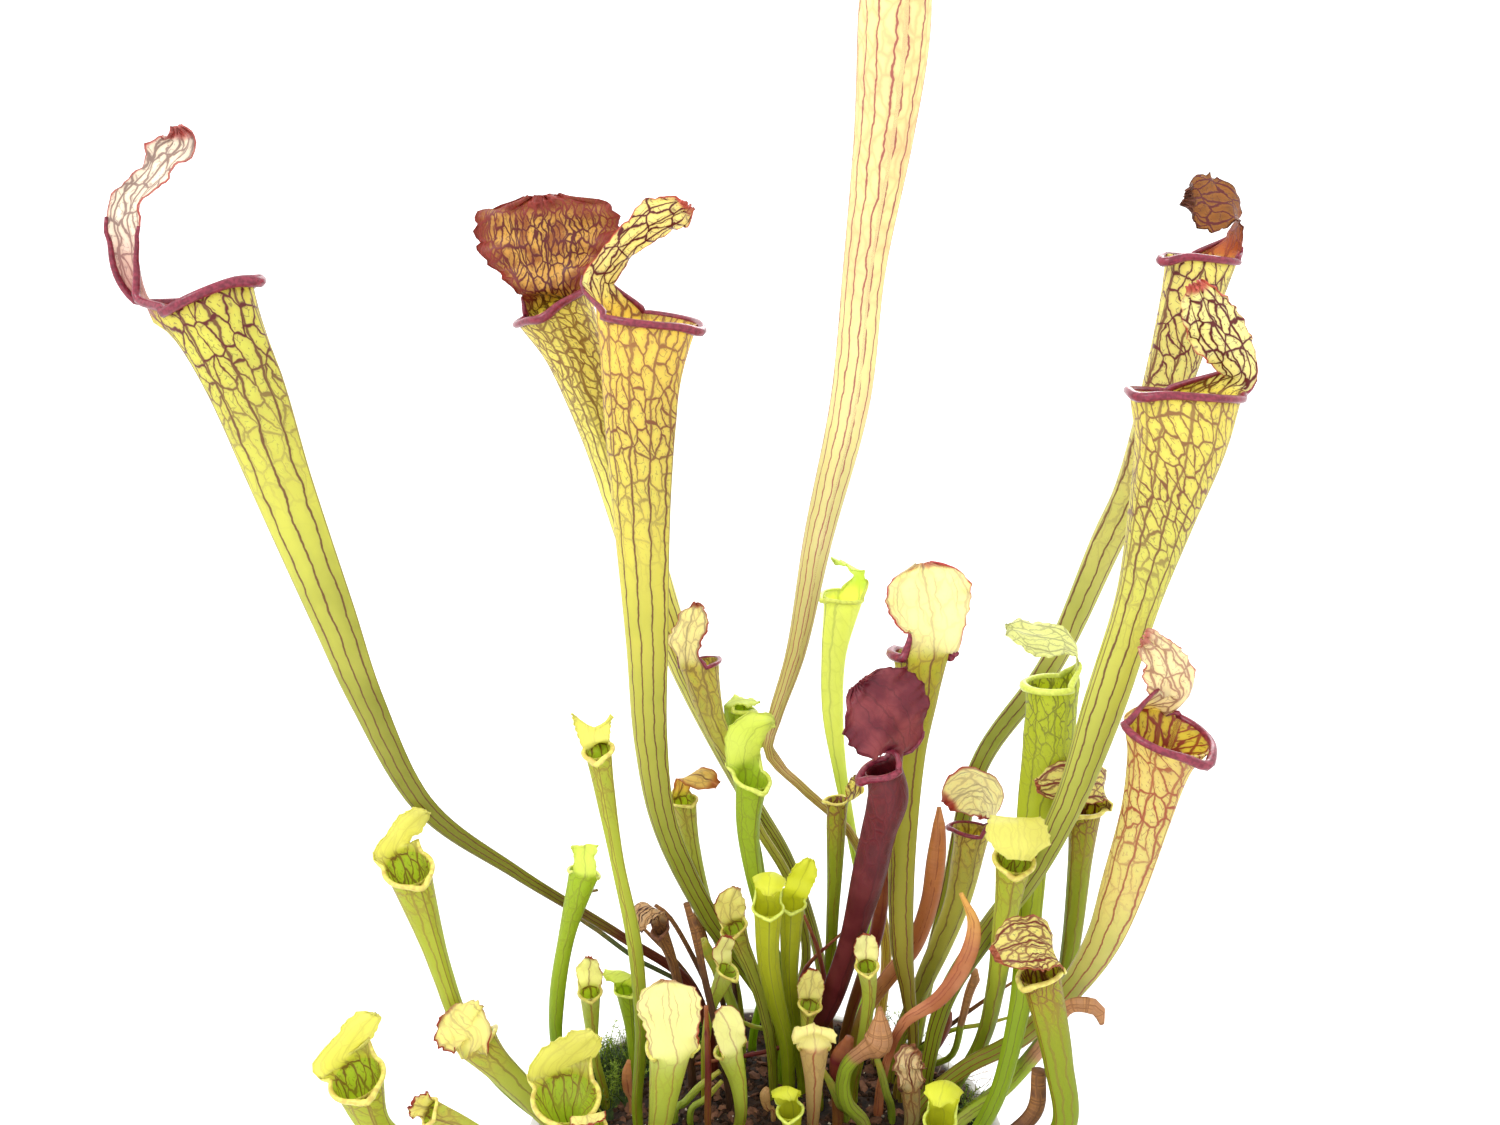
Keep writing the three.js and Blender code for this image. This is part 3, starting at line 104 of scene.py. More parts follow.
def mixTop(x, y):
    share = np.minimum(1, np.hypot(x, y) / potInside(mixLevel))
    lumps = mix["lumps"] * np.sin(x / 7.3 + 1) * np.cos(y / 6.1) * (1 - share ** 4)
    return mixLevel + mix["mound"] * (1 - share ** 2) + lumps


# A smooth value between knots that are evenly spaced in t
def knotValue(values, t):
    values = np.asarray(values, float)
    place = np.asarray(t) * (len(values) - 1)
    knot = np.minimum(place.astype(int), len(values) - 2)
    local = place - knot
    before = values[np.maximum(knot - 1, 0)]
    after = values[np.minimum(knot + 2, len(values) - 1)]
    low, high = values[knot], values[knot + 1]
    if values.ndim > 1:
        local = local[:, None]
    return ((2 * local ** 3 - 3 * local ** 2 + 1) * low
            + (local ** 3 - 2 * local ** 2 + local) * (high - before) / 2
            + (3 * local ** 2 - 2 * local ** 3) * high + (local ** 3 - local ** 2) * (after - low) / 2)


# A smooth curve through the knots that makes no loops between them, at each t from 0 to 1
def curvePoints(knots, t):
    knots = np.asarray(knots, float)
    ends = np.vstack([2 * knots[0] - knots[1], knots, 2 * knots[-1] - knots[-2]])
    place = np.clip(np.asarray(t), 0, 1) * (len(knots) - 1)
    knot = np.minimum(place.astype(int), len(knots) - 2)
    local = (place - knot)[:, None]
    a, b, c, d = (ends[knot + step] for step in range(4))
    gap = [np.linalg.norm(q - p, axis=1)[:, None] ** 0.5 for p, q in ((a, b), (b, c), (c, d))]
    slopeA = ((b - a) / gap[0] - (c - a) / (gap[0] + gap[1]) + (c - b) / gap[1]) * gap[1]
    slopeB = ((c - b) / gap[1] - (d - b) / (gap[1] + gap[2]) + (d - c) / gap[2]) * gap[1]
    return (b + slopeA * local + (3 * (c - b) - 2 * slopeA - slopeB) * local ** 2
            + (2 * (b - c) + slopeA + slopeB) * local ** 3)


# Values of t that are evenly spaced in length along the curve, and the lengths
def evenly(knots, count, start=0.0, ease=1.0):
    fine = np.linspace(start, 1, 500)
    points = curvePoints(knots, fine)
    lengths = np.concatenate([[0], np.cumsum(np.linalg.norm(np.diff(points, axis=0), axis=1))])
    wanted = lengths[-1] * np.linspace(0, 1, count) ** ease
    return np.interp(wanted, lengths, fine), wanted


def tangents(knots, t):
    return unit(curvePoints(knots, t + 2e-4) - curvePoints(knots, t - 2e-4))


# A leaf's midline from its foot in the mix along its route, with a turning frame at each row
def midline(foot, route, facing, rowCount):
    x, y, wide = foot
    surface = mixTop(x, y)
    knots = [[x, y, surface - socket["depth"]], [x, y, surface + socket["reach"]]]
    knots += [seen(*knot[:3]) for knot in route]
    widths = [wide, wide] + [knot[3] for knot in route]
    t, length = evenly(knots, rowCount, 0, tubeForm["rowEase"])
    along = tangents(knots, t)
    upright = smooth(1.3 * (socket["depth"] + socket["reach"]), socket["depth"], length)[:, None]
    along = unit(along * (1 - upright) + np.array([0, 0, 1.0]) * upright)
    front = np.zeros_like(along)
    turn = heading(facing)
    for row in range(rowCount - 1, -1, -1):
        turn = unit(turn - along[row] * (turn @ along[row]))
        front[row] = turn
    return {"centre": curvePoints(knots, t), "width": np.maximum(knotValue(widths, t), 1),
            "along": along, "front": front, "side": np.cross(along, front), "length": length}


# Collects the grids of one piece: points, faces, and two values a corner for each map
class Sheets:
    def __init__(self):
        self.points, self.faces, self.finish, self.maps = [], [], [], []
        self.count = 0

    # points is rows x columns x 3. A wrapped grid closes on itself across its columns
    def grid(self, points, maps, finish=0, wrap=False, flip=False):
        rows, columns = points.shape[:2]
        index = self.count + np.arange(rows * columns).reshape(rows, columns)
        self.points.append(points.reshape(-1, 3))
        self.maps.append(maps.reshape(-1, maps.shape[-1]))
        self.count += rows * columns
        if wrap:
            index = np.hstack([index, index[:, :1]])
        quads = np.stack([index[:-1, :-1], index[:-1, 1:], index[1:, 1:], index[1:, :-1]], -1)
        quads = quads.reshape(-1, 4)
        self.faces.append(quads[:, ::-1] if flip else quads)
        self.finish.append(np.full(len(quads), finish))
        return index

    # Quads between two rows of point numbers that are already there
    def strip(self, near, far, finish=0):
        quads = np.stack([near[:-1], near[1:], far[1:], far[:-1]], -1)
        self.faces.append(quads)
        self.finish.append(np.full(len(quads), finish))

    # Closes a ring of point numbers with a point in its middle
    def cap(self, ring, finish=0, flip=False):
        everything = np.vstack(self.points)
        values = np.vstack(self.maps)
        self.points.append(everything[ring].mean(0)[None])
        self.maps.append(values[ring].mean(0)[None])
        around = np.roll(ring, -1)
        middle = np.full(len(ring), self.count)
        self.count += 1
        faces = np.stack([ring, around, middle, middle], -1)
        self.faces.append(faces[:, [1, 0, 2, 3]] if flip else faces)
        self.finish.append(np.full(len(ring), finish))

    # Closes both ends of a wrapped grid
    def capEnds(self, index, finish=0):
        self.cap(index[0, :-1], finish, flip=True)
        self.cap(index[-1, :-1], finish)

    def build(self, name, materials, mapNames=("leaf",)):
        points = np.vstack(self.points) / 1000
        values = np.vstack(self.maps)
        faces = np.vstack(self.faces)
        finish = np.concatenate(self.finish)
        lists = [list(dict.fromkeys(face)) for face in faces.tolist()]
        keep = [i for i, face in enumerate(lists) if len(face) > 2]
        mesh = bpy.data.meshes.new(name)
        mesh.from_pydata(points.tolist(), [], [lists[i] for i in keep])
        for material in materials:
            mesh.materials.append(material)
        mesh.polygons.foreach_set("material_index", finish[keep].astype(np.int32))
        corners = np.zeros(len(mesh.loops), np.int32)
        mesh.loops.foreach_get("vertex_index", corners)
        for step, mapName in enumerate(mapNames):
            layer = mesh.uv_layers.new(name=mapName)
            layer.data.foreach_set("uv", values[corners, 2 * step:2 * step + 2].ravel())
        mesh.shade_smooth()
        return linked(name, mesh)


def linked(name, mesh):
    piece = bpy.data.objects.new(name, mesh)
    bpy.context.scene.collection.objects.link(piece)
    return piece


# A plain closed or open grid has one empty map
def blankMaps(grid):
    return np.zeros((*grid.shape[:2], 2))


def closedTurning(name, grid, material):
    sheets = Sheets()
    sheets.capEnds(sheets.grid(grid, blankMaps(grid), wrap=True))
    return sheets.build(name, [material])


def openTurning(name, grid, material):
    sheets = Sheets()
    sheets.grid(grid, blankMaps(grid), wrap=True)
    return sheets.build(name, [material])


# Points of a circle's corners, columns x 2
def circle(sides):
    angle = 2 * np.pi * np.arange(sides) / sides
    return np.stack([np.cos(angle), np.sin(angle)], 1)


# The direction out of a grid at each of its points
def outward(grid, wrap=False):
    if wrap:
        around = np.roll(grid, -1, axis=1) - np.roll(grid, 1, axis=1)
    else:
        around = np.gradient(grid, axis=1)
    up = np.gradient(grid, axis=0)
    normal = np.cross(around, up)
    return normal / np.maximum(np.linalg.norm(normal, axis=-1, keepdims=True), 1e-9)


# A round cord along a path of points, with a radius at each
def cordGrid(path, radius, sides=8):
    along = unit(np.gradient(path, axis=0))
    rings = []
    turn = np.cross(along[0], [0.3, 0.2, 1])
    angle = 2 * np.pi * np.arange(sides) / sides
    for row, ahead in enumerate(along):
        turn = unit(turn - ahead * (turn @ ahead))
        other = np.cross(ahead, turn)
        rings.append(path[row] + radius[row] * (np.cos(angle)[:, None] * turn
                                                + np.sin(angle)[:, None] * other))
    return np.array(rings)


def addCord(sheets, path, radius, maps, finish, sides=8):
    values = np.repeat(maps[:, None, :], sides, axis=1)
    sheets.capEnds(sheets.grid(cordGrid(path, radius, sides), values, finish, wrap=True), finish)


# A lid that leans forward from the back of the mouth. lean holds its angles from upright at the
# hinge, at the neck's end and at the tip
def lidOf(neck, neckWide, length, wide, lean, cup, wave, waves):
    return {"neck": neck, "neckWide": neckWide, "length": length, "wide": wide, "lean": lean,
            "cup": cup, "wave": wave, "waves": waves}


# A lid that follows points of its own: across, down and behind, width, and its outer face's heading
def lidAlong(neck, cup, way, more=None):
    return {"neck": neck, "neckWide": way[0][3], "cup": cup, "wave": 0.6, "waves": 2, "way": way,
            **(more or {})}


def smallLid(neckWide, length, wide, lean):
    return lidOf(0.01, neckWide, length, wide, lean, [-10, 20], 0.5, 2)


def smallLidAlong(cup, way, more=None):
    return lidAlong(0.5, cup, way, {"wave": 0.4, "settle": 2.5, **(more or {})})


def lidHalfWidth(lid, share):
    widest = lidForm["widestAt"]
    low = lid["neckWide"] + (lid["wide"] - lid["neckWide"]) * smooth(0, widest, share)
    beyond = np.clip((share - widest) / (1 - widest), 0, 1)
    return np.where(share < widest, low / 2, np.maximum(lid["wide"] / 2 * np.sqrt(1 - beyond ** 2.2),
                                                        lidForm["tipHalfWidth"]))


def lidKnots(lid, hinge, along):
    return [hinge - along * lidForm["rootBehind"], hinge] + [seen(*knot[:3]) for knot in lid["way"]]


def lidLength(lid, hinge, along):
    if "way" not in lid:
        return lid["neck"] + lid["length"]
    knots = lidKnots(lid, hinge, along)
    return evenly(knots, 2, 1 / (len(knots) - 1))[1][-1]


# Centre, direction across, direction to the front and half width at each distance up the midrib
def lidFrames(lid, distance, hinge, front, along, side):
    if "way" in lid:
        knots = lidKnots(lid, hinge, along)
        faces = [-front, -front] + [heading(knot[4], knot[5]) for knot in lid["way"]]
        fine, lengths = evenly(knots, 300, 1 / (len(knots) - 1))
        t = np.interp(distance, lengths, fine)
        centre = curvePoints(knots, t)
        ahead = tangents(knots, np.minimum(t, 0.9995))
        out = knotValue(faces, t)
        out = unit(out - ahead * np.sum(out * ahead, axis=1, keepdims=True))
        widths = [lid["neckWide"]] * 2 + [knot[3] for knot in lid["way"]]
        half = np.maximum(knotValue(widths, t) / 2, lidForm["thinnest"])
        return centre, np.cross(ahead, out), -out, half
    fine = np.linspace(0, distance[-1], 400)
    share = np.clip((fine - lid["neck"]) / lid["length"], 0, 1)
    atHinge, atNeck, atTip = lid["lean"]
    lean = np.where(fine < lid["neck"], atHinge + (atNeck - atHinge) * fine / lid["neck"],
                    atNeck + (atTip - atNeck) * share)
    lean = np.radians(lean)
    step = fine[1]
    forward = np.interp(distance, fine, np.cumsum(np.sin(lean)) * step)
    up = np.interp(distance, fine, np.cumsum(np.cos(lean)) * step)
    lean = np.interp(distance, fine, lean)
    share = np.clip((distance - lid["neck"]) / lid["length"], 0, 1)
    centre = hinge + forward[:, None] * front + up[:, None] * along
    towards = np.cos(lean)[:, None] * front - np.sin(lean)[:, None] * along
    across = np.repeat(-side[None], len(distance), axis=0)
    half = np.where(distance < lid["neck"], lid["neckWide"] / 2, lidHalfWidth(lid, share))
    return centre, across, towards, half


def addPiece(piece, node):
    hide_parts(node)
    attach(piece, "root")


def addExtra(piece):
    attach(piece, "root")


# The tube's outer face. It flares to the mouth, which dips to the front, and has a keel up its front
def tubeGrid(rows, rim, angle):
    width, length = rows["width"][:, None], rows["length"][:, None]
    topWide, total = rows["width"][-1], rows["length"][-1]
    near = np.clip(1 - (total - length) / (tubeForm["flareReach"] * topWide), 0, 1)
    ahead = np.maximum(0, np.cos(angle))[None]
    behind = np.maximum(0, -np.cos(angle))[None]
    grow = 1 + near ** 3 * (rim["flare"] + rim["spout"] * ahead ** 3)
    grow = grow + near ** 6 * rim["pouch"] * behind ** 3
    upTube = smooth(socket["depth"], 3 * socket["depth"], length)
    wing = 1 + upTube * (1 - near) * (tubeForm["keel"] * ahead ** 6 + tubeForm["keel"] * ahead ** 60)
    radius = width / 2 * grow * wing
    lift = -0.5 * near ** 2 * rim["dip"] * width * np.cos(angle)
    place = {key: rows[key][:, None, :] for key in ("centre", "front", "side", "along")}
    return (place["centre"] + place["front"] * (radius * np.cos(angle))[..., None]
            + place["side"] * (radius * np.sin(angle))[..., None] + place["along"] * lift[..., None])


# The lid's outer face, which starts as the back edge of the mouth and ends cupped, waved and ragged.
# c is the place across it from -1 to 1, and ready says how far the lid has left the mouth's edge
def lidGrid(lid, mouthEdge, top, hinge, distance, reach, c, chance):
    centre, across, towards, half = lidFrames(lid, distance, hinge, top["front"], top["along"], top["side"])
    share = np.clip((distance - lid["neck"]) / max(reach - lid["neck"], 1), 0, 1)
    bend = np.radians(lid["cup"][0] + (lid["cup"][1] - lid["cup"][0]) * share)[:, None]
    bend = np.where(np.abs(bend) < 0.01, 0.01, bend)
    s = share[:, None]
    phase = chance.uniform(0, 6.28, 6)
    edge = np.abs(c) ** 4 * smooth(0.05, 0.3, s) + smooth(0.8, 1, s)
    crinkle = lid.get("crinkle", 0.5 * lid["wave"])
    waves = lid["wave"] * (np.abs(c) ** 1.5 * np.sin(2 * np.pi * lid["waves"] * s)
                           + s ** 2 * np.sin(np.pi * lid["waves"] * c) * 0.6)
    waves = waves + crinkle * edge * (np.sin(2 * np.pi * 4.3 * s + phase[0] + np.sign(c) * phase[1])
                                      + 0.6 * np.sin(2 * np.pi * 9.1 * s * np.sign(c) + phase[2])
                                      + 0.7 * np.sin(2 * np.pi * 3.2 * c + phase[3]) * s ** 3)
    ragged = 1 + lid.get("ragged", 0.035) * edge * (np.sin(2 * np.pi * 7.7 * s + np.sign(c) * phase[4])
                                                    + 0.5 * np.sin(2 * np.pi * 15.3 * s + phase[5]))
    aside = half[:, None] * ragged * np.sin(bend * c) / bend
    forward = half[:, None] * (1 - np.cos(bend * c)) / bend + waves
    offset = across[:, None, :] * aside[..., None] + towards[:, None, :] * forward[..., None]
    settle = lid.get("settle", max(lid["neck"], 0.3 * reach))
    ready = smooth(0, settle, distance)[:, None, None]
    sheet = centre[:, None, :] + (mouthEdge - hinge)[None] * (1 - ready) + offset * ready
    notch = lid.get("notch", 0) * np.abs(c) ** 1.5 * smooth(0.2, 1, s)
    return sheet + top["along"] * notch[..., None], ready[..., 0], half[:, None], s


# The maps of a leaf hold where its lines run and how far up it is, its true place across, how near
# the margin it is and its local width
mapNames = ["leaf", "place", "size"]


def stackMaps(*values):
    return np.stack(np.broadcast_arrays(*values), -1)


# The rolled lip: up from one side of the neck, round the mouth and up the other side
def addLip(sheets, lip, rim, top, mouthRing, ahead, leftEdge, rightEdge):
    away = unit(mouthRing - top["centre"])
    spout = (ahead ** 24 * rim["knob"] * lip)[:, None]
    mouthPath = mouthRing + away * (lipForm["out"] * lip + spout) \
        - top["along"] * (lipForm["down"] * lip + lipForm["spoutDown"] * spout)
    path = np.concatenate([rightEdge[::-1], mouthPath, leftEdge])
    fade = np.linspace(lipForm["foldStart"], lipForm["foldEnd"], len(leftEdge))
    radii = lip * np.concatenate([fade, 1 + lipForm["frontSwell"] * ahead ** 10, fade[::-1]])
    maps = np.zeros((len(path), 6))
    maps[:, 0] = np.linspace(0, 1, len(path))
    maps[:, 2] = 1
    addCord(sheets, path, radii, maps, 1)


# One pitcher: a hollow tube whose back wall runs on into the lid
def pitcher(name, look, size, facing, foot, route, lid, mouth=None):
    cut = cuts[size]
    rim = {**mouthForm, **(mouth or {})}
    chance = np.random.default_rng(sum(map(ord, name)))
    rows = midline(foot, route, facing, cut["rows"])
    fan, columns = cut["fan"], cut["fan"] + cut["open"]
    column = np.arange(columns)
    fanHalf = lidForm["halfAngle"]
    fanAngle = np.pi + fanHalf * (2 * column / fan - 1)
    openAngle = np.pi + fanHalf + (2 * np.pi - 2 * fanHalf) * (column - fan) / cut["open"]
    angle = np.where(column <= fan, fanAngle, openAngle)
    tube = tubeGrid(rows, rim, angle)
    width, length = rows["width"][:, None], rows["length"][:, None]
    topWide, total = rows["width"][-1], rows["length"][-1]

    top = {key: rows[key][-1] for key in ("centre", "front", "side", "along")}
    hinge = top["centre"] - top["front"] * topWide / 2 * (1 + rim["flare"] + rim["pouch"]) \
        + top["along"] * 0.5 * rim["dip"] * topWide
    reach = lidLength(lid, hinge, top["along"])
    step = np.arange(1, cut["lid"] + 1) / cut["lid"]
    distance = reach * (1 - (1 - step) ** lidForm["rowEase"])
    c = (2 * np.arange(fan + 1) / fan - 1)[None]
    sheet, ready, half, s = lidGrid(lid, tube[-1, :fan + 1], top, hinge, distance, reach, c, chance)

    flat = np.pi * topWide * fanHalf / (2 * np.pi)
    spread = (angle - np.pi) / (2 * np.pi) * (np.pi * topWide)
    crest = (column == fan + cut["open"] // 2)[None] * 1.0
    tubeMaps = stackMaps(spread[None] / 100, (length - total) / 100, length / total, crest,
                         width / topWide, spread[None] * width / topWide / 100)
    trueHalf = flat * (1 - ready) + half * ready
    lidMaps = stackMaps(c * flat / 100, distance[:, None] / 100, 1 + distance[:, None] / reach,
                        np.maximum(np.abs(c) ** 3, smooth(0.7, 1, s)), np.maximum(half / flat, 0.3),
                        c * trueHalf / 100)

    sheets = Sheets()
    outer = sheets.grid(tube, tubeMaps, 0, wrap=True)
    inside = tube - outward(tube, wrap=True) * cut["wall"]
    firstTop = cut["rows"] - tubeForm["topRows"]
    firstHollow = int(tubeForm["hollowFrom"] * cut["rows"])
    chosen = np.unique(np.concatenate([np.arange(firstHollow, firstTop, tubeForm["innerStep"]),
                                       np.arange(firstTop, cut["rows"])]))
    inner = sheets.grid(inside[chosen], tubeMaps[chosen], 2, wrap=True, flip=True)
    lidOut = outward(np.concatenate([tube[-2:, :fan + 1], sheet]))[2:]
    lidOuter = sheets.grid(sheet, lidMaps, 0)
    lidInner = sheets.grid(sheet - lidOut * cut["wall"], lidMaps, 0, flip=True)
    sheets.strip(outer[-1, :fan + 1], lidOuter[0])
    sheets.strip(lidInner[0], inner[-1, :fan + 1])
    sheets.strip(outer[-1, fan:], inner[-1, fan:])
    sheets.strip(lidOuter[-1], lidInner[-1])
    leftOut = np.concatenate([[outer[-1, 0]], lidOuter[:, 0]])
    leftIn = np.concatenate([[inner[-1, 0]], lidInner[:, 0]])
    rightOut = np.concatenate([[outer[-1, fan]], lidOuter[:, -1]])
    rightIn = np.concatenate([[inner[-1, fan]], lidInner[:, -1]])
    sheets.strip(leftIn, leftOut)
    sheets.strip(rightOut, rightIn)
    sheets.cap(outer[0, :-1], flip=True)
    sheets.cap(inner[0, :-1], 2)

    onNeck = max(3, int(np.sum(distance < max(1.15 * lid["neck"], 0.2 * reach))))  # lid rows with a lip
    ahead = np.maximum(0, np.cos(angle))
    mouthRing = np.concatenate([tube[-1, fan:], tube[-1, :1]])
    addLip(sheets, cut["lip"] * rim["lip"], rim, top, mouthRing, np.concatenate([ahead[fan:], ahead[:1]]),
           sheet[:onNeck, 0], sheet[:onNeck, -1])
    finishes = [leafMaterials[look], lipMaterials[looks[look]["lip"]], insideMaterials[look]]
    addPiece(sheets.build("look_" + name, finishes, mapNames), name)


bladeForm = {"sides": 20, "rows": 40, "stalkRows": 22, "hollowRows": 7, "hollowShare": 0.7}


# A leaf with no mouth. deep is its thickness front to back as a share of its width
def bladePiece(name, look, facing, foot, route, deep, count=bladeForm["rows"], hollow=False):
    rows = midline(foot, route, facing, count)
    angle = 2 * np.pi * np.arange(bladeForm["sides"]) / bladeForm["sides"]
    upright = smooth(1.5 * socket["depth"], socket["depth"], rows["length"])[:, None]
    thick = upright + (1 - upright) * deep
    half = rows["width"][:, None] / 2
    place = {key: rows[key][:, None, :] for key in ("centre", "front", "side")}
    grid = (place["centre"] + place["front"] * (half * thick * np.cos(angle))[..., None]
            + place["side"] * (half * np.sin(angle))[..., None])
    length = rows["length"][:, None]
    wide = rows["width"].max()
    maps = stackMaps(angle[None] / (2 * np.pi) * np.pi * wide / 100, (length - length[-1]) / 100,
                     length / length[-1], 0.0, rows["width"][:, None] / wide, 0.0)
    if hollow:
        inside = place["centre"] + (grid - place["centre"]) * bladeForm["hollowShare"]
        back = slice(None, -bladeForm["hollowRows"] - 1, -1)
        grid = np.concatenate([grid, inside[back]])
        maps = np.concatenate([maps, maps[back]])
    sheets = Sheets()
    sheets.capEnds(sheets.grid(grid, maps, 0, wrap=True))
    return sheets.build("look_" + name, [leafMaterials[look]], mapNames)


def blade(name, look, facing, foot, route, deep, hollow=False):
    addPiece(bladePiece(name, look, facing, foot, route, deep, hollow=hollow), name)


# Shader helpers
def addNode(tree, kind, sockets=None, **settings):
    node = tree.nodes.new(kind)
    for key, value in settings.items():
        setattr(node, key, value)
    for key, value in (sockets or {}).items():
        if isinstance(value, bpy.types.NodeSocket):
            tree.links.new(value, node.inputs[key])
        else:
            node.inputs[key].default_value = value
    return node


def maths(tree, operation, *values):
    return addNode(tree, "ShaderNodeMath", dict(enumerate(values)), operation=operation).outputs[0]


def vectorMaths(tree, operation, sockets):
    return addNode(tree, "ShaderNodeVectorMath", sockets, operation=operation).outputs[0]


def ramp(tree, value, low, high, fromShare=0.0, toShare=1.0):
    node = addNode(tree, "ShaderNodeMapRange", {0: value, 1: low, 2: high, 3: fromShare, 4: toShare},
                   interpolation_type="SMOOTHSTEP")
    return node.outputs[0]


# a and b are sockets, or red, green and blue from 0 to 1
def blendColours(tree, share, a, b):
    a, b = ((*value, 1) if isinstance(value, tuple) else value for value in (a, b))
    return addNode(tree, "ShaderNodeMix", {0: share, 6: a, 7: b}, data_type="RGBA").outputs[2]


def blendValue(tree, share, a, b):
    return addNode(tree, "ShaderNodeMix", {0: share, 2: float(a), 3: float(b)},
                   data_type="FLOAT").outputs[0]


def grainAt(tree, vector, scale, detail):
    return addNode(tree, "ShaderNodeTexNoise", {"Vector": vector, "Scale": scale, "Detail": detail})


def newMaterial(name):
    material = bpy.data.materials.new(name)
    material.use_nodes = True
    material.node_tree.nodes.clear()
    return material, material.node_tree


def newGroup(name, outputs, inputs=()):
    tree = bpy.data.node_groups.new(name, "ShaderNodeTree")
    for label in outputs:
        tree.interface.new_socket(label, in_out="OUTPUT", socket_type="NodeSocketFloat")
    for label, value in inputs:
        made = tree.interface.new_socket(label, in_out="INPUT", socket_type="NodeSocketFloat")
        made.default_value = value
    return tree, tree.nodes.new("NodeGroupInput").outputs, tree.nodes.new("NodeGroupOutput").inputs


# How the veins are drawn: their width in shares of Line, how far they wander in millimetres, and
# the widths and heights of the net's cells in shares of Cell
veinForm = {"lineWide": 1.45, "lineEdge": (0.6, 1.4), "branchEdge": (0.3, 0.9), "branchFrom": (1.15, 1.5),
            "wander": (5.0, 8.0, 0), "lineWander": 4.0, "wanderScale": 0.13, "gateScale": 0.6,
            "wideCell": (0.85, 1.6), "fineCell": (0.34, 0.6), "wideEdge": (0.45, 1.25),
            "fineEdge": (0.15, 0.55), "fineShare": 0.65, "haloEdge": (0.5, 5.0)}


# Lines that run up the leaf, and a net of cells between them. Line is the line's half width
def makeVeinGroup():
    tree, given, out = newGroup("veins", ["Lines", "Net", "Halo", "Climb", "Margin"],
                                [("Spacing", 8.0), ("Cell", 5.0), ("Line", 0.3)])
    spacing, cell, line = given["Spacing"], given["Cell"], given["Line"]
    maps = [addNode(tree, "ShaderNodeUVMap", uv_map=name).outputs[0] for name in mapNames]
    fanX, alongLeaf, _ = addNode(tree, "ShaderNodeSeparateXYZ", {0: maps[0]}).outputs
    climb, margin, _ = addNode(tree, "ShaderNodeSeparateXYZ", {0: maps[1]}).outputs
    local, trueX, _ = addNode(tree, "ShaderNodeSeparateXYZ", {0: maps[2]}).outputs
    netPlace = addNode(tree, "ShaderNodeCombineXYZ", {0: trueX, 1: alongLeaf, 2: 0.0}).outputs[0]
    inMm = vectorMaths(tree, "SCALE", {0: netPlace, "Scale": 100.0})
    wander = grainAt(tree, inMm, veinForm["wanderScale"], 3.0).outputs["Color"]
    shift = vectorMaths(tree, "SUBTRACT", {0: wander, 1: (0.5, 0.5, 0.5)})
    warped = vectorMaths(tree, "ADD", {0: inMm,
                                       1: vectorMaths(tree, "MULTIPLY", {0: shift, 1: veinForm["wander"]})})
    shiftX = addNode(tree, "ShaderNodeSeparateXYZ", {0: shift}).outputs[0]
    aside = maths(tree, "MULTIPLY", shiftX, veinForm["lineWander"])
    lineX = maths(tree, "MULTIPLY_ADD", fanX, 100.0, aside)
    fromLine = maths(tree, "PINGPONG", lineX, maths(tree, "MULTIPLY", spacing, 0.5))
    fromLine = maths(tree, "MULTIPLY", fromLine, local)
    taper = ramp(tree, local, 0.0, 1.0, 0.3, 1.0)
    lineWide = maths(tree, "MULTIPLY", maths(tree, "MULTIPLY", line, veinForm["lineWide"]), taper)
    mainLines = ramp(tree, maths(tree, "DIVIDE", fromLine, lineWide), *veinForm["lineEdge"], 1, 0)
    branchPlace = maths(tree, "ADD", lineX, maths(tree, "MULTIPLY", spacing, 0.25))
    fromBranch = maths(tree, "PINGPONG", branchPlace, maths(tree, "MULTIPLY", spacing, 0.25))
    fromBranch = maths(tree, "MULTIPLY", fromBranch, local)
    branches = ramp(tree, maths(tree, "DIVIDE", fromBranch, lineWide), *veinForm["branchEdge"], 1, 0)
    branches = maths(tree, "MULTIPLY", branches, ramp(tree, local, *veinForm["branchFrom"]))
    tree.links.new(maths(tree, "MAXIMUM", mainLines, branches), out["Lines"])

    def net(wide, tall):
        sizes = vectorMaths(tree, "SCALE", {0: (wide, tall, 1), "Scale": cell})
        scaled = vectorMaths(tree, "DIVIDE", {0: warped, 1: sizes})
        edges = addNode(tree, "ShaderNodeTexVoronoi", {"Vector": scaled, "Scale": 1.0, "Randomness": 1.0},
                        voronoi_dimensions="2D", feature="DISTANCE_TO_EDGE")
        return maths(tree, "MULTIPLY", edges.outputs["Distance"], maths(tree, "MULTIPLY", cell, wide))

    wideNet = net(*veinForm["wideCell"])
    fineNet = net(*veinForm["fineCell"])
    gates = grainAt(tree, inMm, veinForm["gateScale"], 1.0).outputs[0]
    strong = ramp(tree, maths(tree, "DIVIDE", wideNet, line), *veinForm["wideEdge"], 1, 0)
    twigs = ramp(tree, maths(tree, "DIVIDE", fineNet, line), *veinForm["fineEdge"], 1, 0)
    twigs = maths(tree, "MULTIPLY", twigs, ramp(tree, gates, 0.48, 0.58, 0, veinForm["fineShare"]))
    tree.links.new(maths(tree, "MAXIMUM", strong, twigs), out["Net"])
    nearest = maths(tree, "DIVIDE", maths(tree, "MINIMUM", fromLine, wideNet), line)
    tree.links.new(ramp(tree, nearest, *veinForm["haloEdge"], 1, 0), out["Halo"])
    tree.links.new(climb, out["Climb"])
    tree.links.new(margin, out["Margin"])
    return tree


veins = makeVeinGroup()

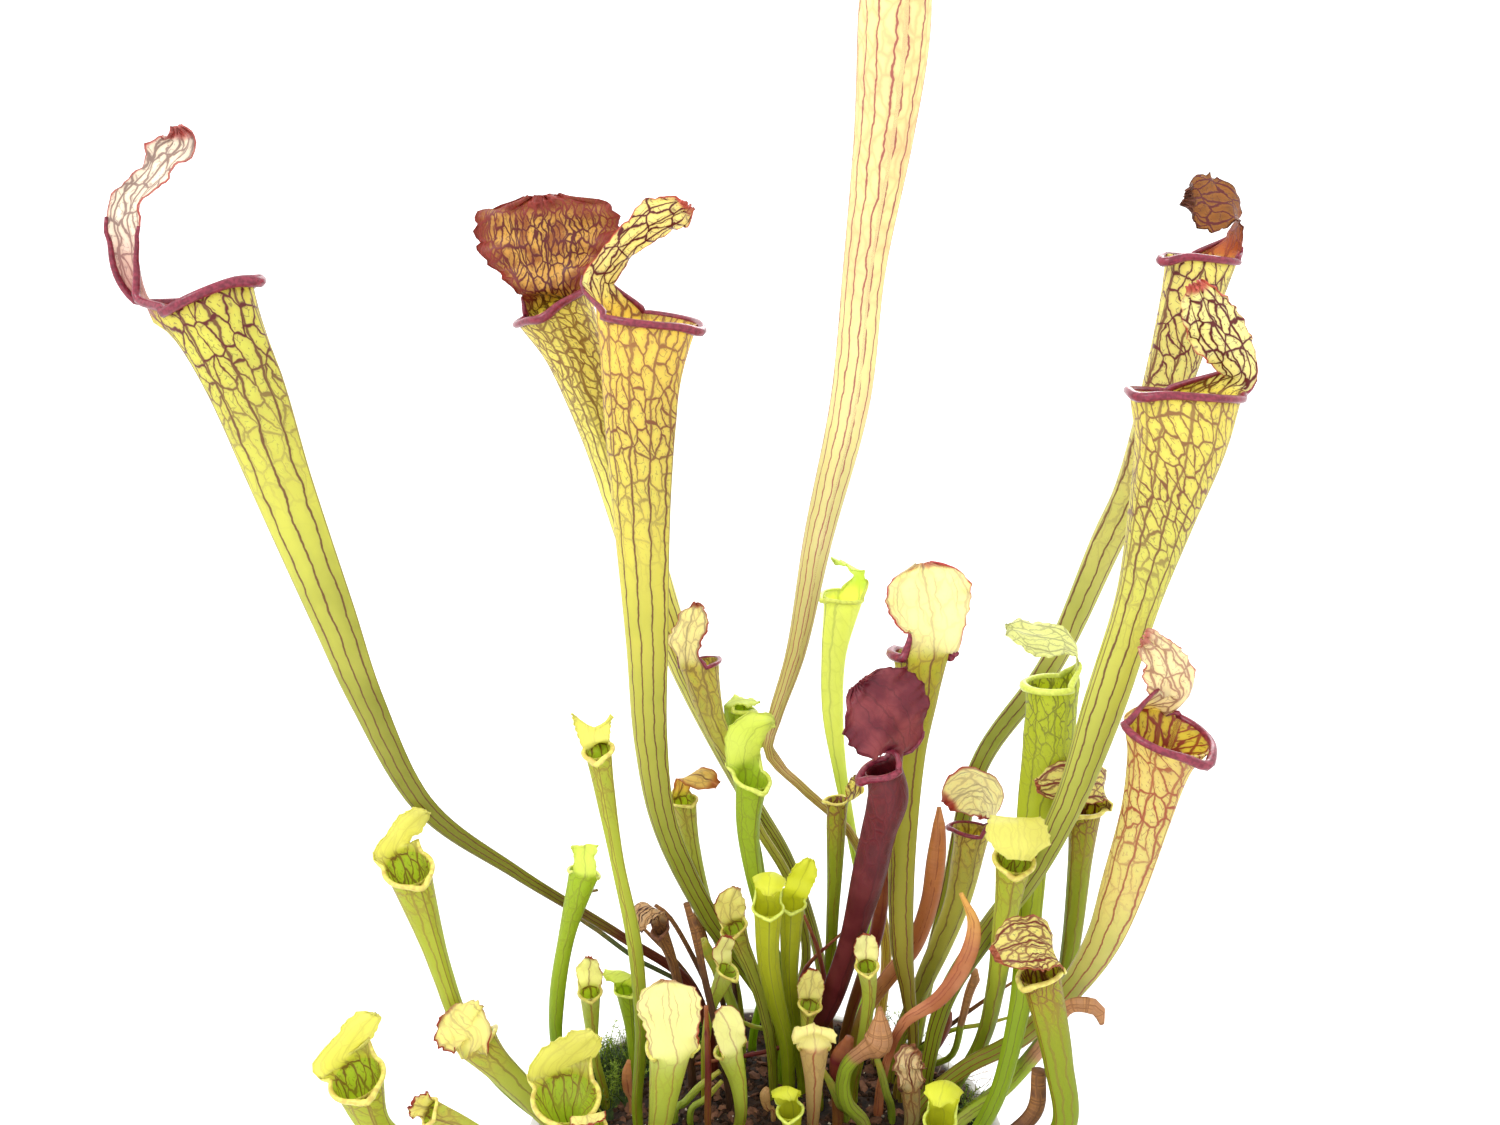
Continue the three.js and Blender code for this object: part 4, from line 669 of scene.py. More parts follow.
# What a look has unless it says otherwise. Places up a leaf are 0 at its foot, 1 at the mouth and 2
# at the lid's tip. turn is where the low colour becomes the high one, netFrom where the net starts
plainLook = {"spacing": 8.0, "cell": 4.3, "line": 0.27, "patchScale": 60.0, "turn": (0.25, 0.75),
             "lidFrom": 0.99, "mottle": 0.05, "netFrom": (0.62, 0.9), "lidVeins": 1.0, "halo": 0.25,
             "haloColour": (0.82, 0.36, 0.07), "lines": 0.92, "net": 1.0, "keel": 0.75,
             "edgeFrom": 0.6, "throatFrom": (0.8, 1.0), "throatShare": 0.5, "throatEnd": 1.15,
             "roughness": 0.4, "through": 0.55}
leafForm = {"insideLine": 1.25, "onTube": (0.99, 1.01), "onLid": (0.99, 1.2), "patchEdge": (0.45, 0.65),
            "keelEdge": (0.72, 0.84), "bump": 0.35, "bumpDeep": 0.0006, "specular": 0.35, "veinsBlock": 0.8}


def leafMaterial(name, ownLook, inside=False):
    look = {**plainLook, **ownLook}
    material, tree = newMaterial(name)
    group = addNode(tree, "ShaderNodeGroup", node_tree=veins)
    group.inputs["Spacing"].default_value = look["spacing"]
    group.inputs["Cell"].default_value = look["cell"]
    group.inputs["Line"].default_value = look["line"] * (leafForm["insideLine"] if inside else 1)
    lines, net, halo, climb, margin = group.outputs
    place = addNode(tree, "ShaderNodeTexCoord").outputs["Object"]
    patches = grainAt(tree, place, look["patchScale"], 3.0).outputs[0]
    height = maths(tree, "ADD", climb, ramp(tree, patches, 0.3, 0.7, -0.05, 0.05))
    base = blendColours(tree, ramp(tree, height, *look["turn"]), look["low"], look["high"])
    if "foot" in look:
        base = blendColours(tree, ramp(tree, height, *look["footTurn"]), look["foot"], base)
    onLid = ramp(tree, climb, *leafForm["onLid"])
    base = blendColours(tree, ramp(tree, climb, look["lidFrom"], leafForm["onLid"][1]), base, look["lid"])
    mottle = blendValue(tree, onLid, look["mottle"], look.get("lidMottle", look["mottle"]))
    base = blendColours(tree, maths(tree, "MULTIPLY", ramp(tree, patches, *leafForm["patchEdge"]), mottle),
                        base, look.get("patch", look["vein"]))
    reach = ramp(tree, climb, *look["netFrom"])
    reach = maths(tree, "MULTIPLY", reach, blendValue(tree, onLid, 1.0, look["lidVeins"]))
    warmth = maths(tree, "MULTIPLY", maths(tree, "MULTIPLY", halo, reach), look["halo"])
    base = blendColours(tree, warmth, base, look["haloColour"])
    lineShare = maths(tree, "MULTIPLY", lines, blendValue(tree, onLid, look["lines"], look["lidVeins"]))
    netShare = maths(tree, "MULTIPLY", maths(tree, "MULTIPLY", net, reach), look["net"])
    drawn = maths(tree, "MAXIMUM", lineShare, netShare)
    onTube = ramp(tree, climb, *leafForm["onTube"], 1, 0)
    keel = maths(tree, "MULTIPLY", ramp(tree, margin, *leafForm["keelEdge"]), onTube)
    drawn = maths(tree, "MAXIMUM", drawn, maths(tree, "MULTIPLY", keel, look["keel"]))
    base = blendColours(tree, drawn, base, look["vein"])
    if "edge" in look:
        uneven = maths(tree, "ADD", margin, ramp(tree, patches, 0.3, 0.7, -0.12, 0.12))
        edging = ramp(tree, uneven, look["edgeFrom"], 1.0)
        base = blendColours(tree, maths(tree, "MULTIPLY", edging, onLid), base, look["edge"])
    if "throat" in look:
        flush = ramp(tree, climb, *look["throatFrom"], 0, look["throatShare"])
        fades = ramp(tree, climb, 1.0, look["throatEnd"], 1, 0)
        base = blendColours(tree, maths(tree, "MULTIPLY", flush, fades), base, look["throat"])
    bump = addNode(tree, "ShaderNodeBump", {"Strength": leafForm["bump"], "Distance": leafForm["bumpDeep"],
                                            "Height": drawn}).outputs[0]
    solid = addNode(tree, "ShaderNodeBsdfPrincipled",
                    {"Base Color": base, "Roughness": look["roughness"], "Normal": bump,
                     "Specular IOR Level": leafForm["specular"]})
    glow = addNode(tree, "ShaderNodeBsdfTranslucent", {"Color": base, "Normal": bump})
    clear = maths(tree, "MULTIPLY_ADD", drawn, -leafForm["veinsBlock"] * look["through"], look["through"])
    both = addNode(tree, "ShaderNodeMixShader", {0: clear, 1: solid.outputs[0], 2: glow.outputs[0]})
    addNode(tree, "ShaderNodeOutputMaterial", {0: both.outputs[0]})
    return material


# A material that mixes two colours in a grain, with a bump of the same grain
def solidMaterial(name, base, dark, roughness, scale, bumpHeight=0.0002):
    material, tree = newMaterial(name)
    place = addNode(tree, "ShaderNodeTexCoord").outputs["Object"]
    grain = grainAt(tree, place, scale, 4.0).outputs[0]
    mixed = blendColours(tree, ramp(tree, grain, 0.35, 0.65), base, dark)
    bump = addNode(tree, "ShaderNodeBump", {"Strength": 0.5, "Distance": bumpHeight, "Height": grain})
    solid = addNode(tree, "ShaderNodeBsdfPrincipled",
                    {"Base Color": mixed, "Roughness": roughness, "Normal": bump.outputs[0],
                     "Specular IOR Level": 0.4})
    addNode(tree, "ShaderNodeOutputMaterial", {0: solid.outputs[0]})
    return material


# How each kind of leaf is coloured. low and high are the tube's colours, lid the lid's, patch its
# blotches and edge its margin. On the red hood the pale blotches are partly painted highlights.
# inside holds what differs on the face inside
maroon = (0.15, 0.008, 0.02)
redBrown = (0.1, 0.006, 0.006)
lime = (0.38, 0.43, 0.035)
smallVein = (0.17, 0.05, 0.008)
looks = {
    "veined": {
        "low": lime, "high": (0.96, 0.9, 0.2), "lid": (0.97, 0.93, 0.4), "vein": redBrown,
        "lip": "maroon", "throat": (0.92, 0.5, 0.12), "throatShare": 0.25, "edge": (0.6, 0.12, 0.08),
        "edgeFrom": 0.8, "netFrom": (0.68, 0.9), "turn": (0.2, 0.9),
    },
    "veinedYellow": {
        "low": lime, "high": (0.94, 0.93, 0.22), "lid": (0.97, 0.94, 0.45), "vein": redBrown,
        "lip": "maroon", "throat": (0.9, 0.6, 0.15), "throatShare": 0.2, "halo": 0.12,
        "edge": (0.6, 0.12, 0.08), "edgeFrom": 0.8, "netFrom": (0.68, 0.9), "turn": (0.15, 1.0),
        "cell": 3.8,
    },
    "veinedNeck": {
        "low": (0.33, 0.34, 0.03), "high": (0.88, 0.88, 0.2), "turn": (0.4, 0.9), "netFrom": (0.78, 0.96),
        "halo": 0.15, "foot": (0.2, 0.045, 0.025), "footTurn": (0.2, 0.42), "lid": (0.99, 0.93, 0.8),
        "vein": redBrown, "lip": "maroon", "throat": (0.5, 0.15, 0.15), "throatShare": 0.85,
        "throatFrom": (0.97, 1.08), "throatEnd": 1.55, "edge": (0.55, 0.16, 0.14), "edgeFrom": 0.7,
        "lidVeins": 0.75, "through": 0.6,
    },
    "redFan": {
        "low": lime, "high": (0.93, 0.88, 0.2), "lid": (0.7, 0.42, 0.09), "through": 0.42,
        "vein": (0.09, 0.006, 0.005), "lip": "maroon", "edge": (0.24, 0.025, 0.015), "edgeFrom": -0.05,
        "lidMottle": 0.75, "patch": (0.26, 0.04, 0.015), "patchScale": 150.0, "cell": 2.8, "spacing": 5.0,
        "halo": 0.15, "netFrom": (0.75, 0.95), "throat": (0.85, 0.62, 0.08), "throatShare": 0.2,
    },
    "lined": {
        "low": (0.62, 0.55, 0.12), "high": (0.98, 0.95, 0.55), "lid": (0.95, 0.8, 0.45),
        "vein": (0.3, 0.03, 0.04), "lip": "maroon", "net": 0.08, "lines": 0.9, "spacing": 5.0,
        "line": 0.2, "patch": (0.93, 0.55, 0.38), "mottle": 0.2,
    },
    "brownLid": {
        "low": lime, "high": (0.93, 0.89, 0.3), "lid": (0.36, 0.15, 0.035), "halo": 0.2,
        "turn": (0.2, 1.0), "vein": redBrown, "lip": "maroon", "edge": (0.13, 0.035, 0.015),
        "edgeFrom": 0.75, "patch": (0.2, 0.06, 0.015), "lidMottle": 0.3, "throat": (0.75, 0.2, 0.14),
        "throatShare": 0.7, "throatFrom": (0.99, 1.08), "throatEnd": 1.5,
    },
    "pinkTube": {
        "low": lime, "high": (0.95, 0.88, 0.3), "lid": (0.98, 0.93, 0.6), "vein": (0.25, 0.025, 0.012),
        "lip": "maroon", "edge": (0.62, 0.2, 0.15), "edgeFrom": 0.75, "throat": (0.8, 0.5, 0.1),
        "throatShare": 0.15, "inside": {"high": (0.68, 0.62, 0.09), "line": 0.34, "throatShare": 0.03},
        "patch": (0.85, 0.42, 0.2), "mottle": 0.1, "lidVeins": 0.7, "halo": 0.2,
    },
    "greenVeined": {
        "low": (0.36, 0.5, 0.02), "high": (0.66, 0.72, 0.05), "lid": (0.88, 0.9, 0.42),
        "vein": (0.1, 0.09, 0.01), "lip": "green", "net": 0.75, "lines": 0.65, "line": 0.2, "cell": 3.4,
        "spacing": 6.0, "lidVeins": 0.6, "halo": 0.0, "netFrom": (0.75, 0.95),
    },
    "creamLid": {
        "low": (0.45, 0.38, 0.05), "high": (0.6, 0.58, 0.06), "lid": (0.96, 0.92, 0.5),
        "vein": (0.15, 0.04, 0.012), "lip": "maroon", "net": 0.5, "lidVeins": 0.35,
        "edge": (0.6, 0.1, 0.1), "edgeFrom": 0.85, "halo": 0.15, "netFrom": (0.8, 1.0),
    },
    # Its pale blotches, strongest on the lid, are partly real mottling and partly painted highlights on the
    # hood's dome
    "red": {
        "low": (0.2, 0.1, 0.02), "high": (0.085, 0.006, 0.01), "lid": (0.13, 0.012, 0.024),
        "vein": (0.04, 0.003, 0.008), "lip": "maroon", "net": 0.4, "patchScale": 85.0, "lines": 0.45,
        "lidVeins": 0.4, "patch": (0.45, 0.1, 0.1), "mottle": 0.12, "lidMottle": 0.35, "through": 0.2,
        "haloColour": (0.3, 0.02, 0.03), "roughness": 0.42, "turn": (0.05, 0.35),
    },
    "pale": {
        "low": (0.55, 0.74, 0.07), "high": (0.93, 0.97, 0.3), "lid": (0.75, 0.87, 0.2),
        "vein": (0.3, 0.36, 0.04), "lip": "green", "net": 0.1, "lines": 0.35, "lidVeins": 0.1,
        "halo": 0.0,
    },
    "redEdged": {
        "low": (0.4, 0.42, 0.04), "high": (0.7, 0.68, 0.13), "lid": (0.96, 0.92, 0.5), "vein": redBrown,
        "lip": "maroon", "net": 0.6, "lines": 0.7, "lidVeins": 0.5, "edge": (0.5, 0.08, 0.05),
        "edgeFrom": 0.65, "cell": 3.4, "spacing": 5.5, "line": 0.24, "netFrom": (0.75, 1.0),
    },
    "smallYellow": {
        "low": (0.3, 0.38, 0.015), "high": (0.62, 0.66, 0.07), "lid": (0.85, 0.83, 0.23),
        "vein": smallVein, "lip": "yellow", "net": 0.6, "lines": 0.6, "netFrom": (0.8, 1.0),
        "lidVeins": 0.12, "cell": 3.2, "spacing": 5.5, "line": 0.22, "halo": 0.1,
        "inside": {"high": (0.5, 0.66, 0.05), "net": 0.85, "lines": 0.75, "line": 0.16},
    },
    "smallNetted": {
        "low": (0.33, 0.42, 0.015), "high": (0.45, 0.5, 0.03), "lid": (0.93, 0.92, 0.3),
        "vein": (0.14, 0.015, 0.006), "lip": "yellow", "net": 0.85, "lines": 0.5,
        "edge": (0.4, 0.1, 0.04), "edgeFrom": 0.97, "cell": 2.7, "spacing": 4.0, "line": 0.26,
        "turn": (0.5, 1.0), "netFrom": (0.8, 1.0), "inside": {"net": 0.95, "lines": 0.95},
    },
    "smallSpotted": {
        "low": (0.36, 0.4, 0.02), "high": (0.66, 0.72, 0.1), "lid": (0.96, 0.95, 0.45), "lidFrom": 0.85,
        "vein": (0.3, 0.07, 0.02), "lip": "yellow", "net": 0.12, "lines": 0.6, "lidVeins": 0.5,
        "edge": (0.5, 0.12, 0.06), "edgeFrom": 0.85, "cell": 3.2, "spacing": 5.5, "line": 0.2,
        "halo": 0.0,
    },
    "smallRedEdged": {
        "low": (0.36, 0.4, 0.025), "high": (0.64, 0.66, 0.1), "lid": (0.92, 0.88, 0.34), "vein": redBrown,
        "lip": "yellow", "net": 0.5, "lines": 0.6, "lidVeins": 0.35, "edge": (0.42, 0.06, 0.03),
        "edgeFrom": 0.75, "cell": 3.2, "spacing": 5.5, "line": 0.22, "netFrom": (0.8, 1.0),
    },
    "smallBrownLid": {
        "low": (0.4, 0.45, 0.03), "high": (0.66, 0.68, 0.1), "lid": (0.85, 0.68, 0.2), "vein": redBrown,
        "lip": "yellow", "net": 0.4, "lines": 0.5, "lidVeins": 0.8, "edge": (0.55, 0.2, 0.05),
        "edgeFrom": 0.25, "cell": 3.2, "spacing": 5.5, "line": 0.22, "netFrom": (0.8, 1.0),
    },
    "smallLime": {
        "low": (0.3, 0.46, 0.015), "high": (0.5, 0.64, 0.04), "lid": (0.8, 0.88, 0.2),
        "vein": (0.16, 0.16, 0.012), "lip": "green", "net": 0.3, "lines": 0.55, "lidVeins": 0.25,
        "cell": 3.2, "spacing": 5.5, "line": 0.18, "halo": 0.0,
    },
    "smallBright": {
        "low": (0.28, 0.35, 0.008), "high": (0.62, 0.64, 0.03), "lid": (0.82, 0.84, 0.08),
        "vein": (0.2, 0.2, 0.015), "lip": "green", "net": 0.1, "lines": 0.35, "lidVeins": 0.2,
        "cell": 3.2, "spacing": 5.5, "line": 0.16, "halo": 0.0, "turn": (0.3, 0.95),
    },
    "smallTan": {
        "low": (0.5, 0.3, 0.1), "high": (0.8, 0.55, 0.24), "lid": (0.96, 0.9, 0.4),
        "vein": (0.3, 0.05, 0.02), "lip": "yellow", "net": 0.2, "lines": 0.85, "lidVeins": 0.3,
        "cell": 3.2, "spacing": 7.0, "line": 0.24, "halo": 0.0,
    },
    "orange": {
        "low": (0.36, 0.27, 0.03), "high": (0.52, 0.19, 0.07), "lid": (0.72, 0.28, 0.1),
        "vein": (0.2, 0.03, 0.012), "net": 0.15, "lines": 0.6, "spacing": 4.0, "line": 0.2,
        "patch": (0.75, 0.4, 0.2), "mottle": 0.45, "through": 0.35, "turn": (0.15, 0.55),
    },
    "maroonStalk": {
        "low": (0.22, 0.09, 0.02), "high": (0.17, 0.016, 0.018), "lid": maroon, "vein": maroon,
        "net": 0.1, "lines": 0.5, "through": 0.2,
    },
    "dead": {
        "low": (0.05, 0.02, 0.008), "high": (0.1, 0.038, 0.016), "lid": (0.5, 0.32, 0.17),
        "vein": (0.05, 0.015, 0.008), "lip": "brown", "net": 0.6, "lines": 0.6, "spacing": 3.0,
        "cell": 3.0, "line": 0.2, "through": 0.12, "roughness": 0.7, "mottle": 0.3,
        "patch": (0.2, 0.085, 0.035),
    },
    "witheredTip": {
        "low": (0.3, 0.4, 0.02), "high": (0.42, 0.2, 0.09), "lid": (0.42, 0.2, 0.09),
        "vein": (0.12, 0.04, 0.02), "net": 0.5, "lines": 0.6, "spacing": 3.0, "cell": 2.6, "line": 0.16,
        "through": 0.2, "roughness": 0.6, "turn": (0.6, 0.66), "mottle": 0.3, "patch": (0.55, 0.32, 0.18),
    },
    "orangeCurved": {
        "low": (0.5, 0.17, 0.07), "high": (0.85, 0.55, 0.12), "lid": (0.9, 0.6, 0.1),
        "vein": (0.25, 0.03, 0.015), "net": 0.1, "lines": 0.55, "spacing": 4.0, "line": 0.18,
        "patch": (0.75, 0.36, 0.18), "mottle": 0.5, "through": 0.4, "turn": (0.84, 0.97),
    },
    "darkGreen": {
        "low": (0.09, 0.08, 0.02), "high": (0.07, 0.1, 0.03), "lid": (0.07, 0.1, 0.03),
        "vein": (0.04, 0.04, 0.01), "net": 0.0, "lines": 0.3, "spacing": 3.5, "line": 0.14,
        "through": 0.2, "mottle": 0.1,
    },
    "plainGreen": {
        "low": (0.24, 0.33, 0.02), "high": (0.42, 0.5, 0.06), "lid": (0.7, 0.7, 0.1),
        "vein": (0.12, 0.1, 0.02), "net": 0.0, "lines": 0.4, "spacing": 3.5, "line": 0.14,
        "through": 0.35, "mottle": 0.1,
    },
    "driedCream": {
        "low": (0.3, 0.3, 0.04), "high": (0.42, 0.32, 0.12), "lid": (0.72, 0.58, 0.3),
        "vein": (0.14, 0.03, 0.012), "lip": "brown", "net": 0.7, "lines": 0.7, "spacing": 3.2,
        "cell": 3.0, "line": 0.24, "through": 0.35, "edge": (0.25, 0.09, 0.03),
    },
}
insideLike = {"smallRedEdged": "smallYellow", "smallBrownLid": "smallYellow", "smallSpotted": "smallYellow",
              "smallTan": "smallYellow", "driedCream": "dead"}
leafMaterials = {name: leafMaterial("leaf_" + name, look) for name, look in looks.items()}
insideMaterials = {name: leafMaterial("inside_" + name, {**look, **look.get("inside", {})}, inside=True)
                   for name, look in looks.items() if "lip" in look and name not in insideLike}
insideMaterials.update({name: insideMaterials[other] for name, other in insideLike.items()})
lipMaterials = {
    "maroon": solidMaterial("lip_maroon", (0.24, 0.025, 0.05), (0.13, 0.01, 0.025), 0.28, 900.0),
    "green": solidMaterial("lip_green", (0.62, 0.7, 0.12), (0.5, 0.55, 0.08), 0.35, 900.0),
    "yellow": solidMaterial("lip_yellow", (0.66, 0.62, 0.13), (0.5, 0.38, 0.08), 0.35, 500.0),
    "brown": solidMaterial("lip_brown", (0.2, 0.08, 0.03), (0.1, 0.03, 0.015), 0.7, 500.0),
}
print("materials made")


# The tall pitchers
def tallPitchers():
    pitcher("pitcher_tall_left", "veinedNeck", "large", -8, [-18, 40, 3.2], [
        [690, 985, 34, 3.2], [622, 937, 24, 3.2], [517, 873, 8, 4], [424, 806, -4, 6.2],
        [366, 700, -8, 9.4], [332, 615, -9, 12.5], [279, 480, -10, 16.5], [245, 388, -10, 20],
        [206, 300, -10, 23.5],
    ], lidAlong(27, [-60, -35], [
        [134, 268, -8, 11.5, -120, 5], [131, 242, -10, 12, -110, 5], [128, 216, -12, 13, -105, 10],
        [141, 190, -12, 8, -100, 15], [165, 162, -12, 11, -95, 20], [180, 143, -12, 10.5, -95, 30],
        [177, 126, -12, 3, -95, 40],
    ], {"wave": 1.2, "waves": 2.5, "settle": 9}), {"dip": -0.08, "pouch": 0.3, "lip": 1.25})
    pitcher("pitcher_tall_behind", "redFan", "large", -100, [20, 57, 4], [
        [822, 975, 57, 4], [790, 865, 57, 4.5], [745, 790, 57, 6.5], [690, 680, 56, 9.5],
        [645, 560, 53, 14], [607, 434, 50, 17], [575, 350, 48, 20], [553, 305, 48, 24],
    ], lidAlong(5, [20, -30], [
        [552, 290, 50, 22, 82, 5], [549, 270, 51, 32, 82, 0], [546, 249, 51, 44, 82, 0],
        [544, 227, 51, 49, 82, 0], [542, 207, 50, 42, 82, 5], [541, 195, 50, 12, 82, 5],
    ], {"wave": 1.6, "waves": 4, "crinkle": 0.7, "ragged": 0.03, "settle": 10}), {"dip": 0.12})
    pitcher("pitcher_tall_middle", "veined", "large", -22, [5, 40, 6], [
        [770, 1005, 37, 6.5], [706, 912, 33, 7], [664, 823, 28, 8.3], [650, 740, 25, 10.5],
        [646, 640, 23, 13], [640, 500, 20, 17.5], [639, 400, 18, 22], [645, 318, 16, 27],
    ], lidAlong(8, [-35, -25], [
        [600, 280, 20, 12, 130, 15], [615, 260, 20, 9.5, 115, 20], [633, 238, 18, 10.5, 108, 25],
        [656, 221, 15, 13, 105, 25], [677, 211, 12, 11.5, 105, 25], [690, 205, 10, 4, 105, 25],
    ], {"wave": 1, "waves": 2.5, "settle": 9}), {"dip": 0.02})
    pitcher("pitcher_tallest", "lined", "large", 165, [40, 46, 3.6], [
        [886, 940, 47, 3.6], [852, 836, 44, 3.2], [805, 790, 40, 3.2], [769, 752, 36, 3.4],
        [775, 719, 33, 4.3], [796, 655, 31, 6], [819, 540, 28, 8.6], [852, 400, 25, 11.4],
        [866, 270, 22, 12], [887, 130, 19, 16.5], [897, 30, 17, 19.5], [899, -70, 15, 18.5],
    ], lidOf(9, 13, 26, 26, [0, 14, 80], [-30, 30], 1, 2))
    pitcher("pitcher_right_back", "brownLid", "large", -152, [52, 36, 4.2], [
        [925, 990, 42, 5], [948, 895, 46, 5.5], [980, 764, 47, 6.5], [1052, 662, 46, 8],
        [1108, 540, 44, 10.5], [1134, 488, 43, 12], [1174, 362, 42, 16], [1202, 258, 42, 20],
    ], lidAlong(5, [-45, 40], [
        [1234, 240, 42, 8, 20, 10], [1238, 222, 40, 7, -15, 20], [1233, 206, 37, 12, -55, 20],
        [1216, 202, 35, 18, -75, 15], [1199, 198, 33, 15, -85, 10], [1186, 196, 31, 4, -90, 10],
    ], {"wave": 0.8, "waves": 2, "crinkle": 0.6, "ragged": 0.05, "settle": 7}), {"dip": 0.12, "knob": 3})
    pitcher("pitcher_right_front", "veinedYellow", "large", -148, [54, 20, 4.5], [
        [945, 1000, 12, 6], [985, 935, 4, 7], [1032, 872, -4, 7.6], [1070, 800, -7, 9],
        [1104, 705, -9, 12.2], [1138, 600, -9, 13], [1163, 510, -8, 19.5], [1181, 440, -8, 25.5],
        [1186, 394, -8, 28],
    ], lidAlong(5, [-30, -25], [
        [1241, 377, -5, 9, 75, 10], [1233, 355, -8, 13, 85, 15], [1218, 332, -10, 15.5, 90, 15],
        [1205, 308, -13, 13, 95, 15], [1198, 292, -15, 8, 95, 15], [1194, 284, -16, 3, 95, 15],
    ], {"wave": 1, "waves": 3, "ragged": 0.05, "settle": 7}), {"dip": -0.03})
    pitcher("pitcher_right_wide", "pinkTube", "large", -58, [50, 8, 4.4], [
        [960, 1070, 10, 4.6], [1020, 1037, 6, 5.6], [1072, 985, -5, 7.5], [1103, 938, -16, 10],
        [1123, 885, -24, 12.5], [1146, 812, -30, 14], [1159, 760, -32, 17.5], [1166, 731, -33, 22],
    ], lidAlong(4, [-35, -20], [
        [1178, 698, -25, 12, 110, 15], [1172, 680, -26, 15, 108, 20], [1163, 660, -28, 12, 108, 20],
        [1150, 643, -30, 7, 105, 20], [1143, 637, -31, 3, 105, 20],
    ], {"wave": 0.9, "waves": 3, "ragged": 0.05, "settle": 9}), {"dip": 0.14})
    pitcher("pitcher_green_right", "greenVeined", "large", 178, [60, -20, 4.4], [
        [998, 1095, -16, 4.8], [1017, 1025, -9, 5.8], [1026, 970, -2, 7], [1030, 900, 9, 8.5],
        [1038, 805, 13, 11], [1050, 744, 14, 14.5], [1053, 684, 14, 15.5],
    ], lidAlong(6, [-20, 25], [
        [1078, 666, 14, 4.5, 0, 10], [1077, 650, 14, 7, -25, 35], [1062, 641, 13, 12, -65, 55],
        [1041, 637, 12, 15, -80, 58], [1021, 632, 11, 12.5, -85, 58], [1007, 628, 10, 4, -85, 58],
    ], {"wave": 0.6, "waves": 2, "settle": 6}), {"spout": 0.02, "knob": 0})
    pitcher("pitcher_olive_back", "creamLid", "large", 108, [46, 24, 3.6], [
        [913, 1046, 20, 3.6], [908, 993, 18, 5], [902, 946, 18, 7.6], [902, 853, 19, 9],
        [909, 750, 19, 11], [918, 690, 18, 13.5], [921, 655, 18, 16],
    ], lidAlong(3, [-15, -20], [
        [934, 634, 17, 18, -85, 5], [931, 612, 18, 25, -88, 10], [927, 592, 19, 27.5, -90, 15],
        [924, 574, 20, 21, -90, 20], [922, 563, 21, 5, -90, 20],
    ], {"wave": 1.1, "waves": 2.5, "ragged": 0.02, "settle": 7}), {"spout": 0.25, "lip": 1.35})
    pitcher("pitcher_red", "red", "large", -165, [17, 34, 4.5], [
        [812, 1040, 28, 5.5], [831, 999, 23, 7.6], [852, 939, 15, 7.6], [870, 873, 8, 10.4],
        [879, 833, 5, 10.5], [889, 795, 2, 12.2], [884, 768, 1, 10.5],
    ], lidAlong(3, [-12, -10], [
        [905, 748, 3, 12, -70, 20], [901, 733, 1, 21, -80, 28], [891, 719, -1, 29, -90, 30],
        [876, 702, -2, 28, -95, 30], [863, 689, -2, 17, -95, 30], [857, 683, -2, 5, -95, 30],
    ], {"wave": 1.2, "waves": 2, "crinkle": 0.9, "ragged": 0.03, "settle": 6}))


